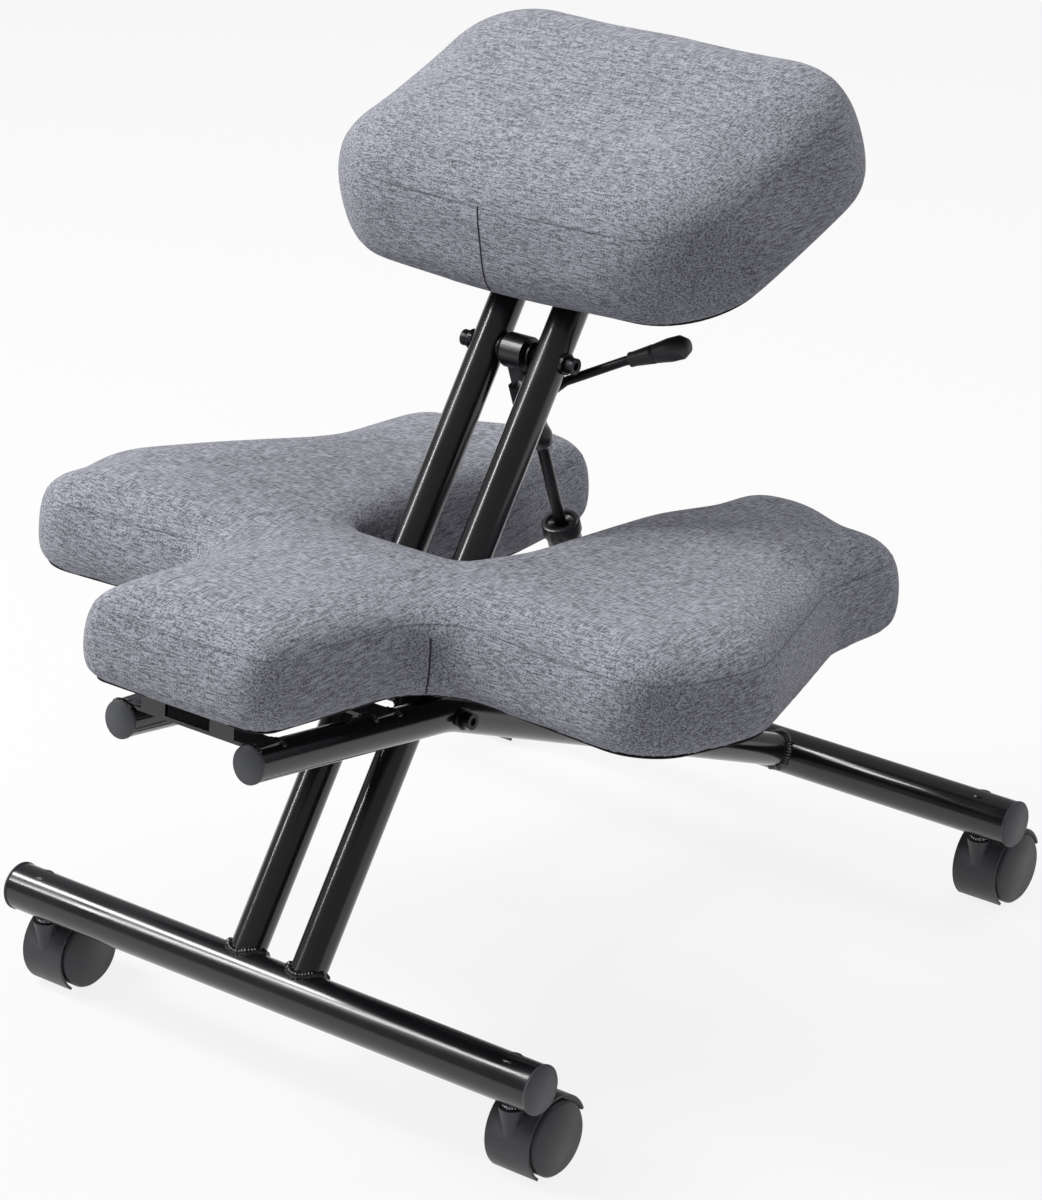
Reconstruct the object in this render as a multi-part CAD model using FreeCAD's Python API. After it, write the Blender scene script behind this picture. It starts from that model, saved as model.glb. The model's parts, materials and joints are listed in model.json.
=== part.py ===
import FreeCAD, Part
import math
import os
from FreeCAD import Placement, Rotation, Vector

# Kneeling chair, in millimetres. X runs across the chair, +Y towards the seat side, +Z up.
# The sizes below are given from the front floor bar: y = 0 is its axis and z = 0 is the floor.
# Every finished piece is then moved by origin_shift, so that the origin is under the chair's middle.

# Floor bars
bar_d = 38.1
bar_wall = 1.5
bar_height = 85.0
wheelbase = 593.0
front_bar_length = 528.0
rear_bar_length = 588.0
cap_rim = 3.0
cap_plug_length = 14.0
cap_plug_wall = 2.0
cap_overhang = 0.6
cap_edge = 1.2

# Seat tubes and knee tubes
tube_d = 28.6
tube_wall = 1.5
seat_tube_angle = 54.3
seat_tube_x = 30.7
knee_tube_x = 63.7
pivot_along = 240.0
shaft_below_seat = 84.0
knee_rise = 9.6
knee_front_length = 213.5
knee_bend_radius = 120.0
knee_bend_lean = 16.4

# Scissor pivot, upper cross shaft and their screws
bush_d = 16.0
shaft_d = 10.0
running_gap = 0.05
side_gap = 0.3
bush_proud = 1.0
screw_head_d = 13.0
screw_head_h = 8.0
screw_shank_d = 6.0
screw_shank_length = 20.0
screw_socket_af = 6.0
screw_socket_depth = 4.5
washer_d = 17.0
spacer_flange_d = 22.0
washer_t = 1.6

# Seat
seat_pitch = 18.0
seat_width = 396.0
seat_depth = 286.0
seat_corner = 82.0
seat_bow = 7.0
seat_height = 96.0
seat_tube_length = 610.0
seat_setback = 66.0
plate_t = 3.0
plate_width = 180.0
plate_length = 160.0
plate_flange = 13.0
plate_back = 44.0
board_t = 12.0
seat_board_inset = 22.0
board_gap = 0.4
seat_screw_x = 70.0
seat_screw_pitch = 120.0
gusset_length = 62.0
gusset_t = 4.0

# Knee pad. A cushion's corners never get tighter than the smallest corner.
smallest_corner = 9.0
pad_pitch = -6.0
pad_rise = 46.5
pad_height = 72.0
pad_board_inset = 24.0
pad_screw_x = 34.0
tube_relief = 17.0
relief_side = 5.0
bracket_depth = 26.0
bracket_width = 140.0
tab_width = 24.0
front_bracket_y = -226.0
rear_bracket_y = -95.0
saddle_depth = 2.0

# Small screws that hold the seat and the pad
board_screw_d = 6.0
board_screw_head_d = 12.0
board_screw_head_h = 3.4
board_screw_dome = 1.4
tee_nut_flange_d = 19.0
tee_nut_flange_t = 1.5
tee_nut_barrel_d = 8.0
tee_nut_barrel = 9.0

# Gas spring and its release
spring_tilt = 18.3
head_barrel_d = 28.0
head_barrel_width = 20.0
head_neck_width = 16.0
head_neck_depth = 18.0
head_block_width = 26.0
head_block_corner = 3.0
head_boss_d = 20.0
head_boss_step = 4.0
head_boss_lip = 1.0
head_block_top = -30.0
head_block_bottom = -54.0
head_bottom = -92.0
lever_level = -40.0
lever_pin_x = 8.0
lever_pin_d = 4.0
lever_slot = 8.4
lever_slot_room = 3.0
lever_slot_depth = 6.0
lever_blade_t = 7.8
lever_blade_h = 8.0
lever_blade_tail = 9.0
lever_blade_reach = 3.0
lever_blade_socket = 2.0
rod_d = 10.0
rod_top = -52.0
rod_bottom = -262.0
release_pin_d = 3.0
release_pin_length = 20.0
release_pin_gap = 0.2
release_bore_depth = 30.0
cylinder_d = 28.0
cylinder_wall = 1.6
cylinder_floor = 5.0
cylinder_edge = 2.5
cylinder_length = 186.0
collar_d = 31.5
collar_h = 11.0
collar_rim = 4.0
collar_dish = 3.0
collar_slope = 1.0
piston_length = 14.0
eye_d = 18.0
eye_stud_d = 14.0
eye_stud_length = 21.0
eye_width = 14.0
eye_play = 1.2
clevis_pin_d = 8.0
clevis_pin_tail = 4.0
clevis_head_d = 13.0
clevis_head_t = 3.0
clevis_ring_d = 14.0
clevis_ring_t = 1.2
clevis_ring_gap = 1.0
clevis_t = 4.0
clevis_gap = 0.6
cross_tube_d = 22.0
cross_tube_offset = 30.0

# Release lever, as points from the gas spring's axis in the release head
lever_rod_d = 7.6
lever_bend_1 = (32.0, 5.0, 16.0)
lever_bend_2 = (82.0, 15.0, 41.0)
lever_tip = (134.0, 27.0, 62.0)
grip_length = 52.0
grip_neck_d = 12.0
grip_neck_length = 4.0
grip_end_d = 19.0
grip_end_length = 16.0
grip_tip_d = 11.4
grip_tip_length = 6.0
grip_groove = 1.0
grip_groove_at = 22.0
grip_socket_wall = 12.0

# Twin-wheel casters
wheel_d = 60.0
wheel_width = 17.5
wheel_outer_x = 23.0
wheel_hub_d = 14.0
wheel_rim_t = 6.0
wheel_disc_t = 3.5
wheel_edge = 2.0
axle_d = 6.0
trail = 27.0
front_caster_inset = 28.0
rear_caster_inset = 35.0
stem_d = 11.0
stem_length = 28.0
pintle_d = 8.0
pintle_rise = 11.0
pintle_floor = 3.0
stem_bush_d = 16.0
hood_gap = 2.4
hood_t = 2.2
hood_half_width = 20.6
hood_boss_d = 21.0
hood_boss_foot_d = 13.5
hood_boss_drop = 2.0
hood_web_t = 8.0
hood_web_d = 44.0
hood_tail_angle = 20.0
hood_nose_angle = 228.0
bridge_tail_angle = 60.0
bridge_nose_angle = 198.0
collar_ring_d = 15.0
collar_ring_gap = 0.3

# Directions and placements worked out from the sizes above
X = Vector(1, 0, 0)
Y = Vector(0, 1, 0)
Z = Vector(0, 0, 1)
big = 1000.0


def turn_x(angle, vector):
    """The vector turned about the X axis by an angle in degrees."""
    return Rotation(X, angle).multVec(vector)


bar_r = bar_d / 2
tube_r = tube_d / 2
front_bar = Vector(0, 0, bar_height)
rear_bar = Vector(0, wheelbase, bar_height)
seat_tube_dir = turn_x(seat_tube_angle, Y)
pivot = front_bar + seat_tube_dir * pivot_along
tube_top = front_bar + seat_tube_dir * seat_tube_length
upper_shaft = tube_top - seat_tube_dir * shaft_below_seat

# How far the caster stems stand from the chair's middle
front_stem_x = front_bar_length / 2 + cap_rim - front_caster_inset
rear_stem_x = rear_bar_length / 2 + cap_rim - rear_caster_inset

# The seat frame's plane: its origin is under the middle of the cushion
seat_place = Placement(tube_top, Rotation(X, seat_pitch))
seat_place.move(turn_x(seat_pitch, Vector(0, seat_setback, plate_t)))

# The pad's plane: its origin is straight above the scissor pivot
pad_place = Placement(pivot + turn_x(pad_pitch, Vector(0, 0, pad_rise)), Rotation(X, pad_pitch))

# The gas spring's own frame: +Z up along its rod, origin on the upper cross shaft
spring_place = Placement(upper_shaft, Rotation(X, spring_tilt))

# Centre line of a knee tube: a straight front, a bend round the pivot, a straight rear leg
bend_centre = pivot - turn_x(-knee_bend_lean, Z) * knee_bend_radius
front_tangent = bend_centre + turn_x(-knee_rise, Z) * knee_bend_radius
front_end = front_tangent - turn_x(-knee_rise, Y) * knee_front_length
to_bar = rear_bar - bend_centre
lean_to_bar = math.degrees(math.atan2(to_bar.z, to_bar.y))
lean_to_tangent = math.degrees(math.acos(knee_bend_radius / to_bar.Length))
knee_fall = 90.0 - lean_to_bar - lean_to_tangent
rear_tangent = bend_centre + turn_x(-knee_fall, Z) * knee_bend_radius
rear_leg_dir = turn_x(-knee_fall, Y)

# Where the gas spring's axis meets the rear leg: its lower eye turns there
spring_dir = turn_x(spring_tilt, Z) * -1
from_leg = upper_shaft - rear_tangent
leg_cross = rear_leg_dir.y * spring_dir.z - rear_leg_dir.z * spring_dir.y
eye_depth = (rear_leg_dir.z * from_leg.y - rear_leg_dir.y * from_leg.z) / leg_cross
lower_eye = upper_shaft + spring_dir * eye_depth
cylinder_bottom = eye_stud_length - eye_depth
cylinder_top = cylinder_bottom + cylinder_length

# Half of the knee pad's outline, from nose to notch: x, y and corner radius in the pad's plane
nose_x = 97.0
nose_y = -254.0
nose_r = 30.0
waist_x = 107.0
waist_y = -76.0
waist_r = 40.0
wing_front_x = 316.0
wing_front_y = -92.0
wing_front_r = 58.0
wing_x = 342.0
wing_side_y = 30.0
wing_side_r = 90.0
kink_x = 266.0
kink_y = 222.0
kink_r = 60.0
wing_rear_x = 260.0
wing_rear_y = 342.0
wing_rear_r = 56.0
heel_x = 138.0
heel_y = 379.0
heel_r = 90.0
notch_rear_x = 78.0
notch_rear_y = 366.0
notch_rear_r = 40.0
notch_x = 54.0
notch_y = 240.0
notch_r = 90.0
notch_end_y = 44.0
notch_end_r = 34.0
pad_half_outline = [
    (nose_x, nose_y, nose_r),
    (waist_x, waist_y, waist_r),
    (wing_front_x, wing_front_y, wing_front_r),
    (wing_x, wing_side_y, wing_side_r),
    (kink_x, kink_y, kink_r),
    (wing_rear_x, wing_rear_y, wing_rear_r),
    (heel_x, heel_y, heel_r),
    (notch_rear_x, notch_rear_y, notch_rear_r),
    (notch_x, notch_y, notch_r),
    (notch_x, notch_end_y, notch_end_r),
]

# Height of each cushion section as a share of the cushion's height, and how far it is drawn in there
widest = 0.38
sections = [(0.0, 8.0), (0.08, 2.5), (widest, 0.0), (0.66, 4.0), (0.81, 12.0), (0.93, 28.0), (1.0, 50.0)]

# Where the screws of the two boards stand, along each board
plate_middle = plate_back - seat_setback
seat_screw_ys = (plate_middle - seat_screw_pitch / 2, plate_middle + seat_screw_pitch / 2)
pad_screw_ys = (front_bracket_y + bracket_depth / 2, rear_bracket_y + bracket_depth / 2)

# The chair's reach, front and rear, sets where the origin lies
front_reach = pad_place.multVec(Vector(0, nose_y, pad_height * widest)).y
rear_reach = wheelbase + trail + wheel_d / 2 + hood_gap + hood_t
origin_shift = Vector(0, -(front_reach + rear_reach) / 2, 0)


def rod(start, end, diameter):
    """A round bar between two points."""
    way = end - start
    return Part.makeCylinder(diameter / 2, way.Length, start, way)


def cross_rod(centre, x_from, x_to, diameter):
    """A round bar along X through a point of the chair's middle plane."""
    start = Vector(x_from, centre.y, centre.z)
    return Part.makeCylinder(diameter / 2, x_to - x_from, start, X)


def block(x_from, x_to, y_from, y_to, z_from, z_to):
    """A rectangular block between two opposite corners."""
    corner = Vector(x_from, y_from, z_from)
    return Part.makeBox(x_to - x_from, y_to - y_from, z_to - z_from, corner)


def spun(points, start, way):
    """A solid of revolution from (radius, distance) points about a line."""
    ring = [Vector(r, 0, h) for r, h in points]
    face = Part.Face(Part.makePolygon(ring + [ring[0]]))
    solid = face.revolve(Vector(0, 0, 0), Z, 360)
    solid.Placement = Placement(start, Rotation(Z, way))
    return solid


def mirrored(shape):
    """The same piece on the other side of the chair."""
    return shape.mirror(Vector(0, 0, 0), X)


def both_sides(shape):
    """A pair of like pieces, one on each side of the chair."""
    return Part.makeCompound([shape, mirrored(shape)])


def both(points):
    """A half outline and its mirror image, as one closed run of corners."""
    other_side = [(-x, y, r) for x, y, r in reversed(points)]
    return points + other_side


def drawn_in(corners, inset):
    """The corners of an outline whose edges are all moved inwards by an inset."""
    count = len(corners)
    moved = []
    for i in range(count):
        x0, y0, r0 = corners[i - 1]
        x1, y1, r1 = corners[i]
        x2, y2, r2 = corners[(i + 1) % count]
        a = Vector(x1 - x0, y1 - y0, 0).normalize()
        b = Vector(x2 - x1, y2 - y1, 0).normalize()
        turn = a.x * b.y - a.y * b.x
        normal_a = Vector(-a.y, a.x, 0)
        normal_b = Vector(-b.y, b.x, 0)
        half = (normal_a + normal_b).normalize()
        reach = inset / half.dot(normal_a)
        radius = r1 - inset if turn > 0 else r1 + inset
        moved.append((x1 + half.x * reach, y1 + half.y * reach, max(radius, smallest_corner)))
    return moved


def outline(corners, height):
    """A closed wire of straight edges and round corners, counter-clockwise, at one height."""
    count = len(corners)
    edges = []
    last = None
    first = None
    for i in range(count):
        x0, y0, r0 = corners[i - 1]
        x1, y1, r1 = corners[i]
        x2, y2, r2 = corners[(i + 1) % count]
        corner = Vector(x1, y1, height)
        to_last = Vector(x0 - x1, y0 - y1, 0).normalize()
        to_next = Vector(x2 - x1, y2 - y1, 0).normalize()
        half_turn = (math.pi - to_last.getAngle(to_next)) / 2
        cut = r1 * math.tan(half_turn)
        start = corner + to_last * cut
        end = corner + to_next * cut
        inward = (to_last + to_next).normalize()
        middle = corner + inward * (r1 / math.cos(half_turn) - r1)
        if last is None:
            first = start
        else:
            edges.append(Part.LineSegment(last, start).toShape())
        edges.append(Part.Arc(start, middle, end).toShape())
        last = end
    edges.append(Part.LineSegment(last, first).toShape())
    return Part.Wire(edges)


def board(corners, thickness):
    """A flat plywood board with the given outline, its underside at height 0."""
    return Part.Face(outline(corners, 0)).extrude(Z * thickness)


def cushion(corners, height, pocket):
    """A crowned cushion with drawn-in sides, hollowed below where the board lies."""
    wires = [outline(drawn_in(corners, inset), share * height) for share, inset in sections]
    form = Part.makeLoft(wires, True, True)
    hollow = board(drawn_in(pocket, -board_gap), board_t + board_gap)
    return form.cut(hollow)


def seat_outline():
    """The seat's corners: a rounded rectangle whose front and back bow out a little."""
    half_x = seat_width / 2
    half_y = seat_depth / 2
    return [
        (-half_x, -half_y + seat_bow, seat_corner),
        (0, -half_y, seat_width),
        (half_x, -half_y + seat_bow, seat_corner),
        (half_x, half_y - seat_bow, seat_corner),
        (0, half_y, seat_width),
        (-half_x, half_y - seat_bow, seat_corner),
    ]


def pad_outline():
    """The whole pad's corners."""
    return both(pad_half_outline)


def knee_tube_path():
    """The centre line of a knee tube in the chair's middle plane, running into the rear bar."""
    middle = bend_centre + turn_x(-(knee_rise + knee_fall) / 2, Z) * knee_bend_radius
    front = Part.LineSegment(front_end, front_tangent).toShape()
    bend = Part.Arc(front_tangent, middle, rear_tangent).toShape()
    rear = Part.LineSegment(rear_tangent, rear_bar).toShape()
    return Part.Wire([front, bend, rear])


def along_path(path, diameter):
    """A round bar that follows a path lying in the middle plane."""
    start = path.Vertexes[0].Point
    circle = Part.Circle(start, turn_x(-knee_rise, Y), diameter / 2)
    section = Part.Wire([circle.toShape()])
    return path.makePipeShell([section], True, False)


def floor_bar(centre, length, stem_x):
    """A floor bar with its two caster bushes."""
    half = length / 2
    pipe = cross_rod(centre, -half, half, bar_d)
    bore = cross_rod(centre, -half, half, bar_d - 2 * bar_wall)
    pipe = pipe.cut(bore)
    for side in (-1, 1):
        foot = Vector(side * stem_x, centre.y, bar_height - bar_r)
        hole = Part.makeCylinder(stem_bush_d / 2, bar_r, foot, Z)
        sleeve = Part.makeCylinder(stem_bush_d / 2, bar_d - bar_wall / 2, foot, Z)
        stem_hole = Part.makeCylinder(stem_d / 2, stem_length, foot, Z)
        pipe = pipe.cut(hole).fuse(sleeve).cut(stem_hole)
    return pipe.removeSplitter()


def end_cap(outer, wall, start, way):
    """A plastic plug cap: a rounded rim over the tube's end and a hollow plug inside it."""
    r = outer / 2 + cap_overhang
    bore = outer / 2 - wall
    inner = bore - cap_plug_wall
    points = [
        (0, 0),
        (inner, 0),
        (inner, -cap_plug_length),
        (bore, -cap_plug_length),
        (bore, 0),
        (r, 0),
        (r, cap_rim - cap_edge),
        (r - cap_edge, cap_rim),
        (0, cap_rim),
    ]
    return spun(points, start, way)


def socket_screw(start, way):
    """A socket-head screw: start is under its head and way points out of the chair."""
    head = Part.makeCylinder(screw_head_d / 2, screw_head_h, start, way)
    shank = Part.makeCylinder(screw_shank_d / 2, screw_shank_length, start, way * -1)
    circle_r = screw_socket_af / math.sqrt(3)
    corners = [Rotation(Z, 60 * i).multVec(Vector(circle_r, 0, 0)) for i in range(7)]
    hexagon = Part.Face(Part.makePolygon(corners)).extrude(Z * screw_socket_depth)
    hexagon.Placement = Placement(start + way * (screw_head_h - screw_socket_depth), Rotation(Z, way))
    return head.fuse(shank).cut(hexagon)


def washer(start, way, outer, inner, thickness):
    """A flat ring."""
    disc = Part.makeCylinder(outer / 2, thickness, start, way)
    return disc.cut(Part.makeCylinder(inner / 2, thickness, start, way))


def flanged_spacer(x_from, x_to):
    """A spacer on the upper cross shaft, with its wide flange against the seat tube's bush."""
    points = [
        (shaft_d / 2, x_from),
        (bush_d / 2, x_from),
        (bush_d / 2, x_to - washer_t),
        (spacer_flange_d / 2, x_to - washer_t),
        (spacer_flange_d / 2, x_to),
        (shaft_d / 2, x_to),
    ]
    return spun(points, upper_shaft, X)


def drilled_shaft(centre, half_length):
    """A cross shaft with a threaded hole in each end for its screw."""
    shaft = cross_rod(centre, -half_length, half_length, shaft_d)
    for side in (-1, 1):
        start = Vector(side * half_length, centre.y, centre.z)
        shaft = shaft.cut(rod(start, start - X * side * screw_shank_length, screw_shank_d))
    return shaft


def bushed(tube, centre, x, bore):
    """A tube with a welded sleeve through it, for a shaft along X."""
    half = tube_r + bush_proud
    sleeve = cross_rod(centre, x - half, x + half, bush_d)
    hole = cross_rod(centre, x - half, x + half, bore)
    return tube.cut(sleeve).fuse(sleeve).cut(hole).removeSplitter()


def seat_tube():
    """The right seat tube, coped to the front bar and cut off under the seat plate."""
    start = front_bar
    end = tube_top + seat_tube_dir * tube_d
    outer = rod(start, end, tube_d)
    inner = rod(start, end, tube_d - 2 * tube_wall)
    shape = outer.cut(inner)
    shape.translate(X * seat_tube_x)
    above = block(-big, big, -big, big, -plate_t, big)
    above.Placement = seat_place
    shape = shape.cut(above)
    shape = bushed(shape, pivot, seat_tube_x, shaft_d + 2 * running_gap)
    shape = bushed(shape, upper_shaft, seat_tube_x, shaft_d)
    return shape.cut(cross_rod(front_bar, -big, big, bar_d))


def knee_tube():
    """The right knee tube, coped to the rear bar."""
    path = knee_tube_path()
    outer = along_path(path, tube_d)
    inner = along_path(path, tube_d - 2 * tube_wall)
    shape = outer.cut(inner)
    shape.translate(X * knee_tube_x)
    shape = bushed(shape, pivot, knee_tube_x, shaft_d)
    return shape.cut(cross_rod(rear_bar, -big, big, bar_d))


def knee_tubes_envelope():
    """Both knee tubes as full bars, to cut the pieces that are welded on them."""
    bar = along_path(knee_tube_path(), tube_d)
    bar.translate(X * knee_tube_x)
    return bar.fuse(mirrored(bar))


def board_screw_set(x, ys, place, depth):
    """Pan-head screws with washers, up through a plate of the given depth into the board."""
    screws = []
    for y in ys:
        for side in (-1, 1):
            shank_r = board_screw_d / 2
            head_r = board_screw_head_d / 2
            points = [
                (0, -board_screw_head_h),
                (head_r - board_screw_dome, -board_screw_head_h),
                (head_r, -board_screw_head_h + board_screw_dome),
                (head_r, 0),
                (shank_r, 0),
                (shank_r, depth + board_t - tee_nut_flange_t),
                (0, depth + board_t - tee_nut_flange_t),
            ]
            screws.append(spun(points, Vector(side * x, y, -depth), Z))
    group = Part.makeCompound(screws)
    group.Placement = place
    return group


def tee_nut_set(x, ys, place):
    """Tee nuts pressed into the board from above, round the screws."""
    nuts = []
    for y in ys:
        for side in (-1, 1):
            top = Vector(side * x, y, board_t)
            flange = Part.makeCylinder(tee_nut_flange_d / 2, tee_nut_flange_t, top, Z * -1)
            barrel = Part.makeCylinder(tee_nut_barrel_d / 2, tee_nut_barrel, top, Z * -1)
            hole = Part.makeCylinder(board_screw_d / 2, board_t, top, Z * -1)
            nuts.append(flange.fuse(barrel).cut(hole))
    group = Part.makeCompound(nuts)
    group.Placement = place
    return group


def bored_board(corners, x, ys, place):
    """A board with the seats of its tee nuts and the holes of its screws."""
    shape = board(corners, board_t)
    for y in ys:
        for side in (-1, 1):
            top = Vector(side * x, y, board_t)
            shape = shape.cut(Part.makeCylinder(tee_nut_flange_d / 2, tee_nut_flange_t, top, Z * -1))
            shape = shape.cut(Part.makeCylinder(tee_nut_barrel_d / 2, tee_nut_barrel, top, Z * -1))
            shape = shape.cut(Part.makeCylinder(board_screw_d / 2, board_t, top, Z * -1))
    shape.Placement = place
    return shape


def seat_plate():
    """The pressed plate under the seat, with turned-down sides and a gusset behind each tube."""
    y_from = plate_middle - plate_length / 2
    y_to = y_from + plate_length
    half = plate_width / 2
    plate = block(-half, half, y_from, y_to, -plate_t, 0)
    for side in (-1, 1):
        edge = side * half
        flange = block(min(edge, edge - side * plate_t), max(edge, edge - side * plate_t),
                       y_from, y_to, -plate_flange, 0)
        plate = plate.fuse(flange)
    for y in seat_screw_ys:
        for side in (-1, 1):
            foot = Vector(side * seat_screw_x, y, -plate_t)
            plate = plate.cut(Part.makeCylinder(board_screw_d / 2, plate_t, foot, Z))
    tube_foot = Vector(0, -seat_setback, -plate_t)
    down_tube = turn_x(seat_tube_angle - seat_pitch, Y) * -gusset_length
    corners = [tube_foot, tube_foot + Y * gusset_length, tube_foot + down_tube]
    for side in (-1, 1):
        rib = Part.Face(Part.makePolygon(corners + [corners[0]])).extrude(X * gusset_t)
        rib.translate(X * (side * seat_tube_x - gusset_t / 2))
        plate = plate.fuse(rib)
    plate.Placement = seat_place
    tubes = rod(front_bar, tube_top + seat_tube_dir * tube_d, tube_d)
    tubes.translate(X * seat_tube_x)
    below = block(-big, big, -big, big, -big, -plate_t)
    below.Placement = seat_place
    tubes = tubes.common(below)
    return plate.cut(tubes).cut(mirrored(tubes)).removeSplitter()


def tube_depth(y):
    """How far the knee tube's axis lies under the pad's plane, at a place along the pad."""
    front = pad_place.inverse().multVec(front_end)
    back = pad_place.inverse().multVec(front_tangent)
    share = (y - front.y) / (back.y - front.y)
    return -(front.z + (back.z - front.z) * share)


def pad_bracket(y):
    """A strap welded across both knee tubes, with a bent-up tab on each side to carry the board."""
    half = bracket_width / 2
    strap_bottom = -(tube_depth(y + bracket_depth) - tube_r + saddle_depth)
    shape = block(-half, half, y, y + bracket_depth, strap_bottom, strap_bottom + plate_t)
    for side in (-1, 1):
        x_from = side * pad_screw_x - tab_width / 2
        x_to = x_from + tab_width
        riser = block(x_from, x_to, y, y + plate_t, strap_bottom, 0)
        shelf = block(x_from, x_to, y, y + bracket_depth, -plate_t, 0)
        hole = Vector(side * pad_screw_x, y + bracket_depth / 2, -plate_t)
        shape = shape.fuse(riser).fuse(shelf)
        shape = shape.cut(Part.makeCylinder(board_screw_d / 2, plate_t, hole, Z))
    shape.Placement = pad_place
    return shape.cut(knee_tubes_envelope()).removeSplitter()


def knee_pad():
    """The butterfly pad: a nose, two wings and a notch that the seat tubes pass through."""
    pocket = drawn_in(pad_outline(), pad_board_inset)
    shape = cushion(pad_outline(), pad_height, pocket)
    shape.Placement = pad_place
    return shape.cut(seat_tube_relief())


def seat_tube_relief():
    """The slanting slot that the notch's front end leaves for the seat tubes."""
    half = seat_tube_x + tube_r + relief_side
    slot = block(-half, half, -tube_relief - tube_r, tube_relief + tube_r, 0, seat_tube_length)
    lean = Rotation(X, seat_tube_angle - 90.0)
    slot.Placement = Placement(pivot, lean)
    return slot


def release_head():
    """The casting on the upper cross shaft: barrel, neck, slotted lever block and threaded boss."""
    barrel = Part.makeCylinder(head_barrel_d / 2, head_barrel_width, X * (-head_barrel_width / 2), X)
    neck = block(-head_neck_width / 2, head_neck_width / 2, -head_neck_depth / 2, head_neck_depth / 2,
                 head_block_top, 0)
    half = head_block_width / 2
    lever_block = block(-half, half, -head_boss_d / 2, head_boss_d / 2, head_block_bottom, head_block_top)
    upright = [e for e in lever_block.Edges if is_upright(e)]
    lever_block = lever_block.makeFillet(head_block_corner, upright)
    boss_points = [
        (0, head_bottom),
        (rod_d / 2 + head_boss_lip, head_bottom),
        (head_boss_d / 2, head_bottom + head_boss_step),
        (head_boss_d / 2, head_bottom + 3 * head_boss_step),
        (head_neck_width / 2, head_bottom + 5 * head_boss_step),
        (head_neck_width / 2, head_block_bottom),
        (0, head_block_bottom),
    ]
    boss = spun(boss_points, Vector(0, 0, 0), Z)
    shape = barrel.fuse(neck).fuse(lever_block).fuse(boss)
    shape = shape.cut(Part.makeCylinder(shaft_d / 2 + running_gap, head_barrel_width,
                                        X * (-head_barrel_width / 2), X))
    slot_half = lever_slot / 2
    slot_reach = lever_blade_h / 2 + lever_slot_room
    slot = block(lever_pin_x - lever_blade_tail - lever_slot_depth, big, -slot_half, slot_half,
                 lever_level - slot_reach, lever_level + slot_reach)
    shape = shape.cut(slot)
    rod_hole = Part.makeCylinder(rod_d / 2, rod_top - head_bottom, Z * head_bottom, Z)
    pin_hole = Part.makeCylinder(release_pin_d / 2 + side_gap, lever_level - rod_top, Z * rod_top, Z)
    hinge_hole = Part.makeCylinder(lever_pin_d / 2, head_boss_d,
                                   Vector(lever_pin_x, -head_boss_d / 2, lever_level), Y)
    shape = shape.cut(rod_hole).cut(pin_hole).cut(hinge_hole).removeSplitter()
    shape.Placement = spring_place
    return shape


def is_upright(edge):
    """Whether a straight edge runs along Z."""
    start = edge.Vertexes[0].Point
    end = edge.Vertexes[-1].Point
    return abs(start.x - end.x) + abs(start.y - end.y) < 0.01


def gas_rod():
    """The polished rod, hollow at its top for the release pin, with the piston at its foot."""
    shape = Part.makeCylinder(rod_d / 2, rod_top - rod_bottom, Z * rod_bottom, Z)
    shape = shape.cut(Part.makeCylinder(release_pin_d / 2 + side_gap, release_bore_depth,
                                        Z * (rod_top - release_bore_depth), Z))
    shape.Placement = spring_place
    return shape


def gas_piston():
    """The piston that slides in the cylinder."""
    outer = cylinder_d / 2 - cylinder_wall - side_gap
    shape = Part.makeCylinder(outer, piston_length, Z * rod_bottom, Z)
    shape = shape.cut(Part.makeCylinder(rod_d / 2, piston_length, Z * rod_bottom, Z))
    shape.Placement = spring_place
    return shape


def release_pin():
    """The thin pin in the rod's end, with a round tip under the lever."""
    tip = lever_level - lever_blade_h / 2 - release_pin_gap - release_pin_d / 2
    foot = Z * (tip - release_pin_length)
    shape = Part.makeCylinder(release_pin_d / 2, release_pin_length, foot, Z)
    shape = shape.fuse(Part.makeSphere(release_pin_d / 2, Z * tip)).removeSplitter()
    shape.Placement = spring_place
    return shape


def gas_cylinder():
    """The pressure tube, closed at its foot by the stud of the lower eye."""
    outer_r = cylinder_d / 2
    inner_r = outer_r - cylinder_wall
    points = [
        (0, cylinder_bottom),
        (outer_r - cylinder_edge, cylinder_bottom),
        (outer_r, cylinder_bottom + cylinder_edge),
        (outer_r, cylinder_top - collar_h),
        (inner_r, cylinder_top - collar_h),
        (inner_r, cylinder_bottom + cylinder_floor),
        (0, cylinder_bottom + cylinder_floor),
    ]
    return spun(points, spring_place.Base, turn_x(spring_tilt, Z))


def gas_collar():
    """The cap on the cylinder's mouth: a rim with a dished top that guides the rod."""
    outer_r = collar_d / 2
    bore_r = rod_d / 2 + running_gap
    dish_r = outer_r - collar_rim
    points = [
        (bore_r, cylinder_top - collar_h),
        (outer_r, cylinder_top - collar_h),
        (outer_r, cylinder_top - cap_edge),
        (outer_r - cap_edge, cylinder_top),
        (dish_r, cylinder_top),
        (dish_r - collar_slope, cylinder_top - collar_dish),
        (bore_r, cylinder_top - collar_dish),
    ]
    return spun(points, spring_place.Base, turn_x(spring_tilt, Z))


def gas_eye():
    """The eye on the cylinder's foot. Its hole has play, because the pin turns it loosely."""
    foot = Z * -eye_depth
    half = eye_width / 2
    ring = Part.makeCylinder(eye_d / 2, eye_width, foot - X * half, X)
    stud = Part.makeCylinder(eye_stud_d / 2, eye_stud_length, foot, Z)
    shape = ring.fuse(stud)
    hole = Part.makeCylinder(clevis_pin_d / 2 + eye_play, eye_width, foot - X * half, X)
    shape = shape.cut(hole).removeSplitter()
    shape.Placement = spring_place
    return shape


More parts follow.
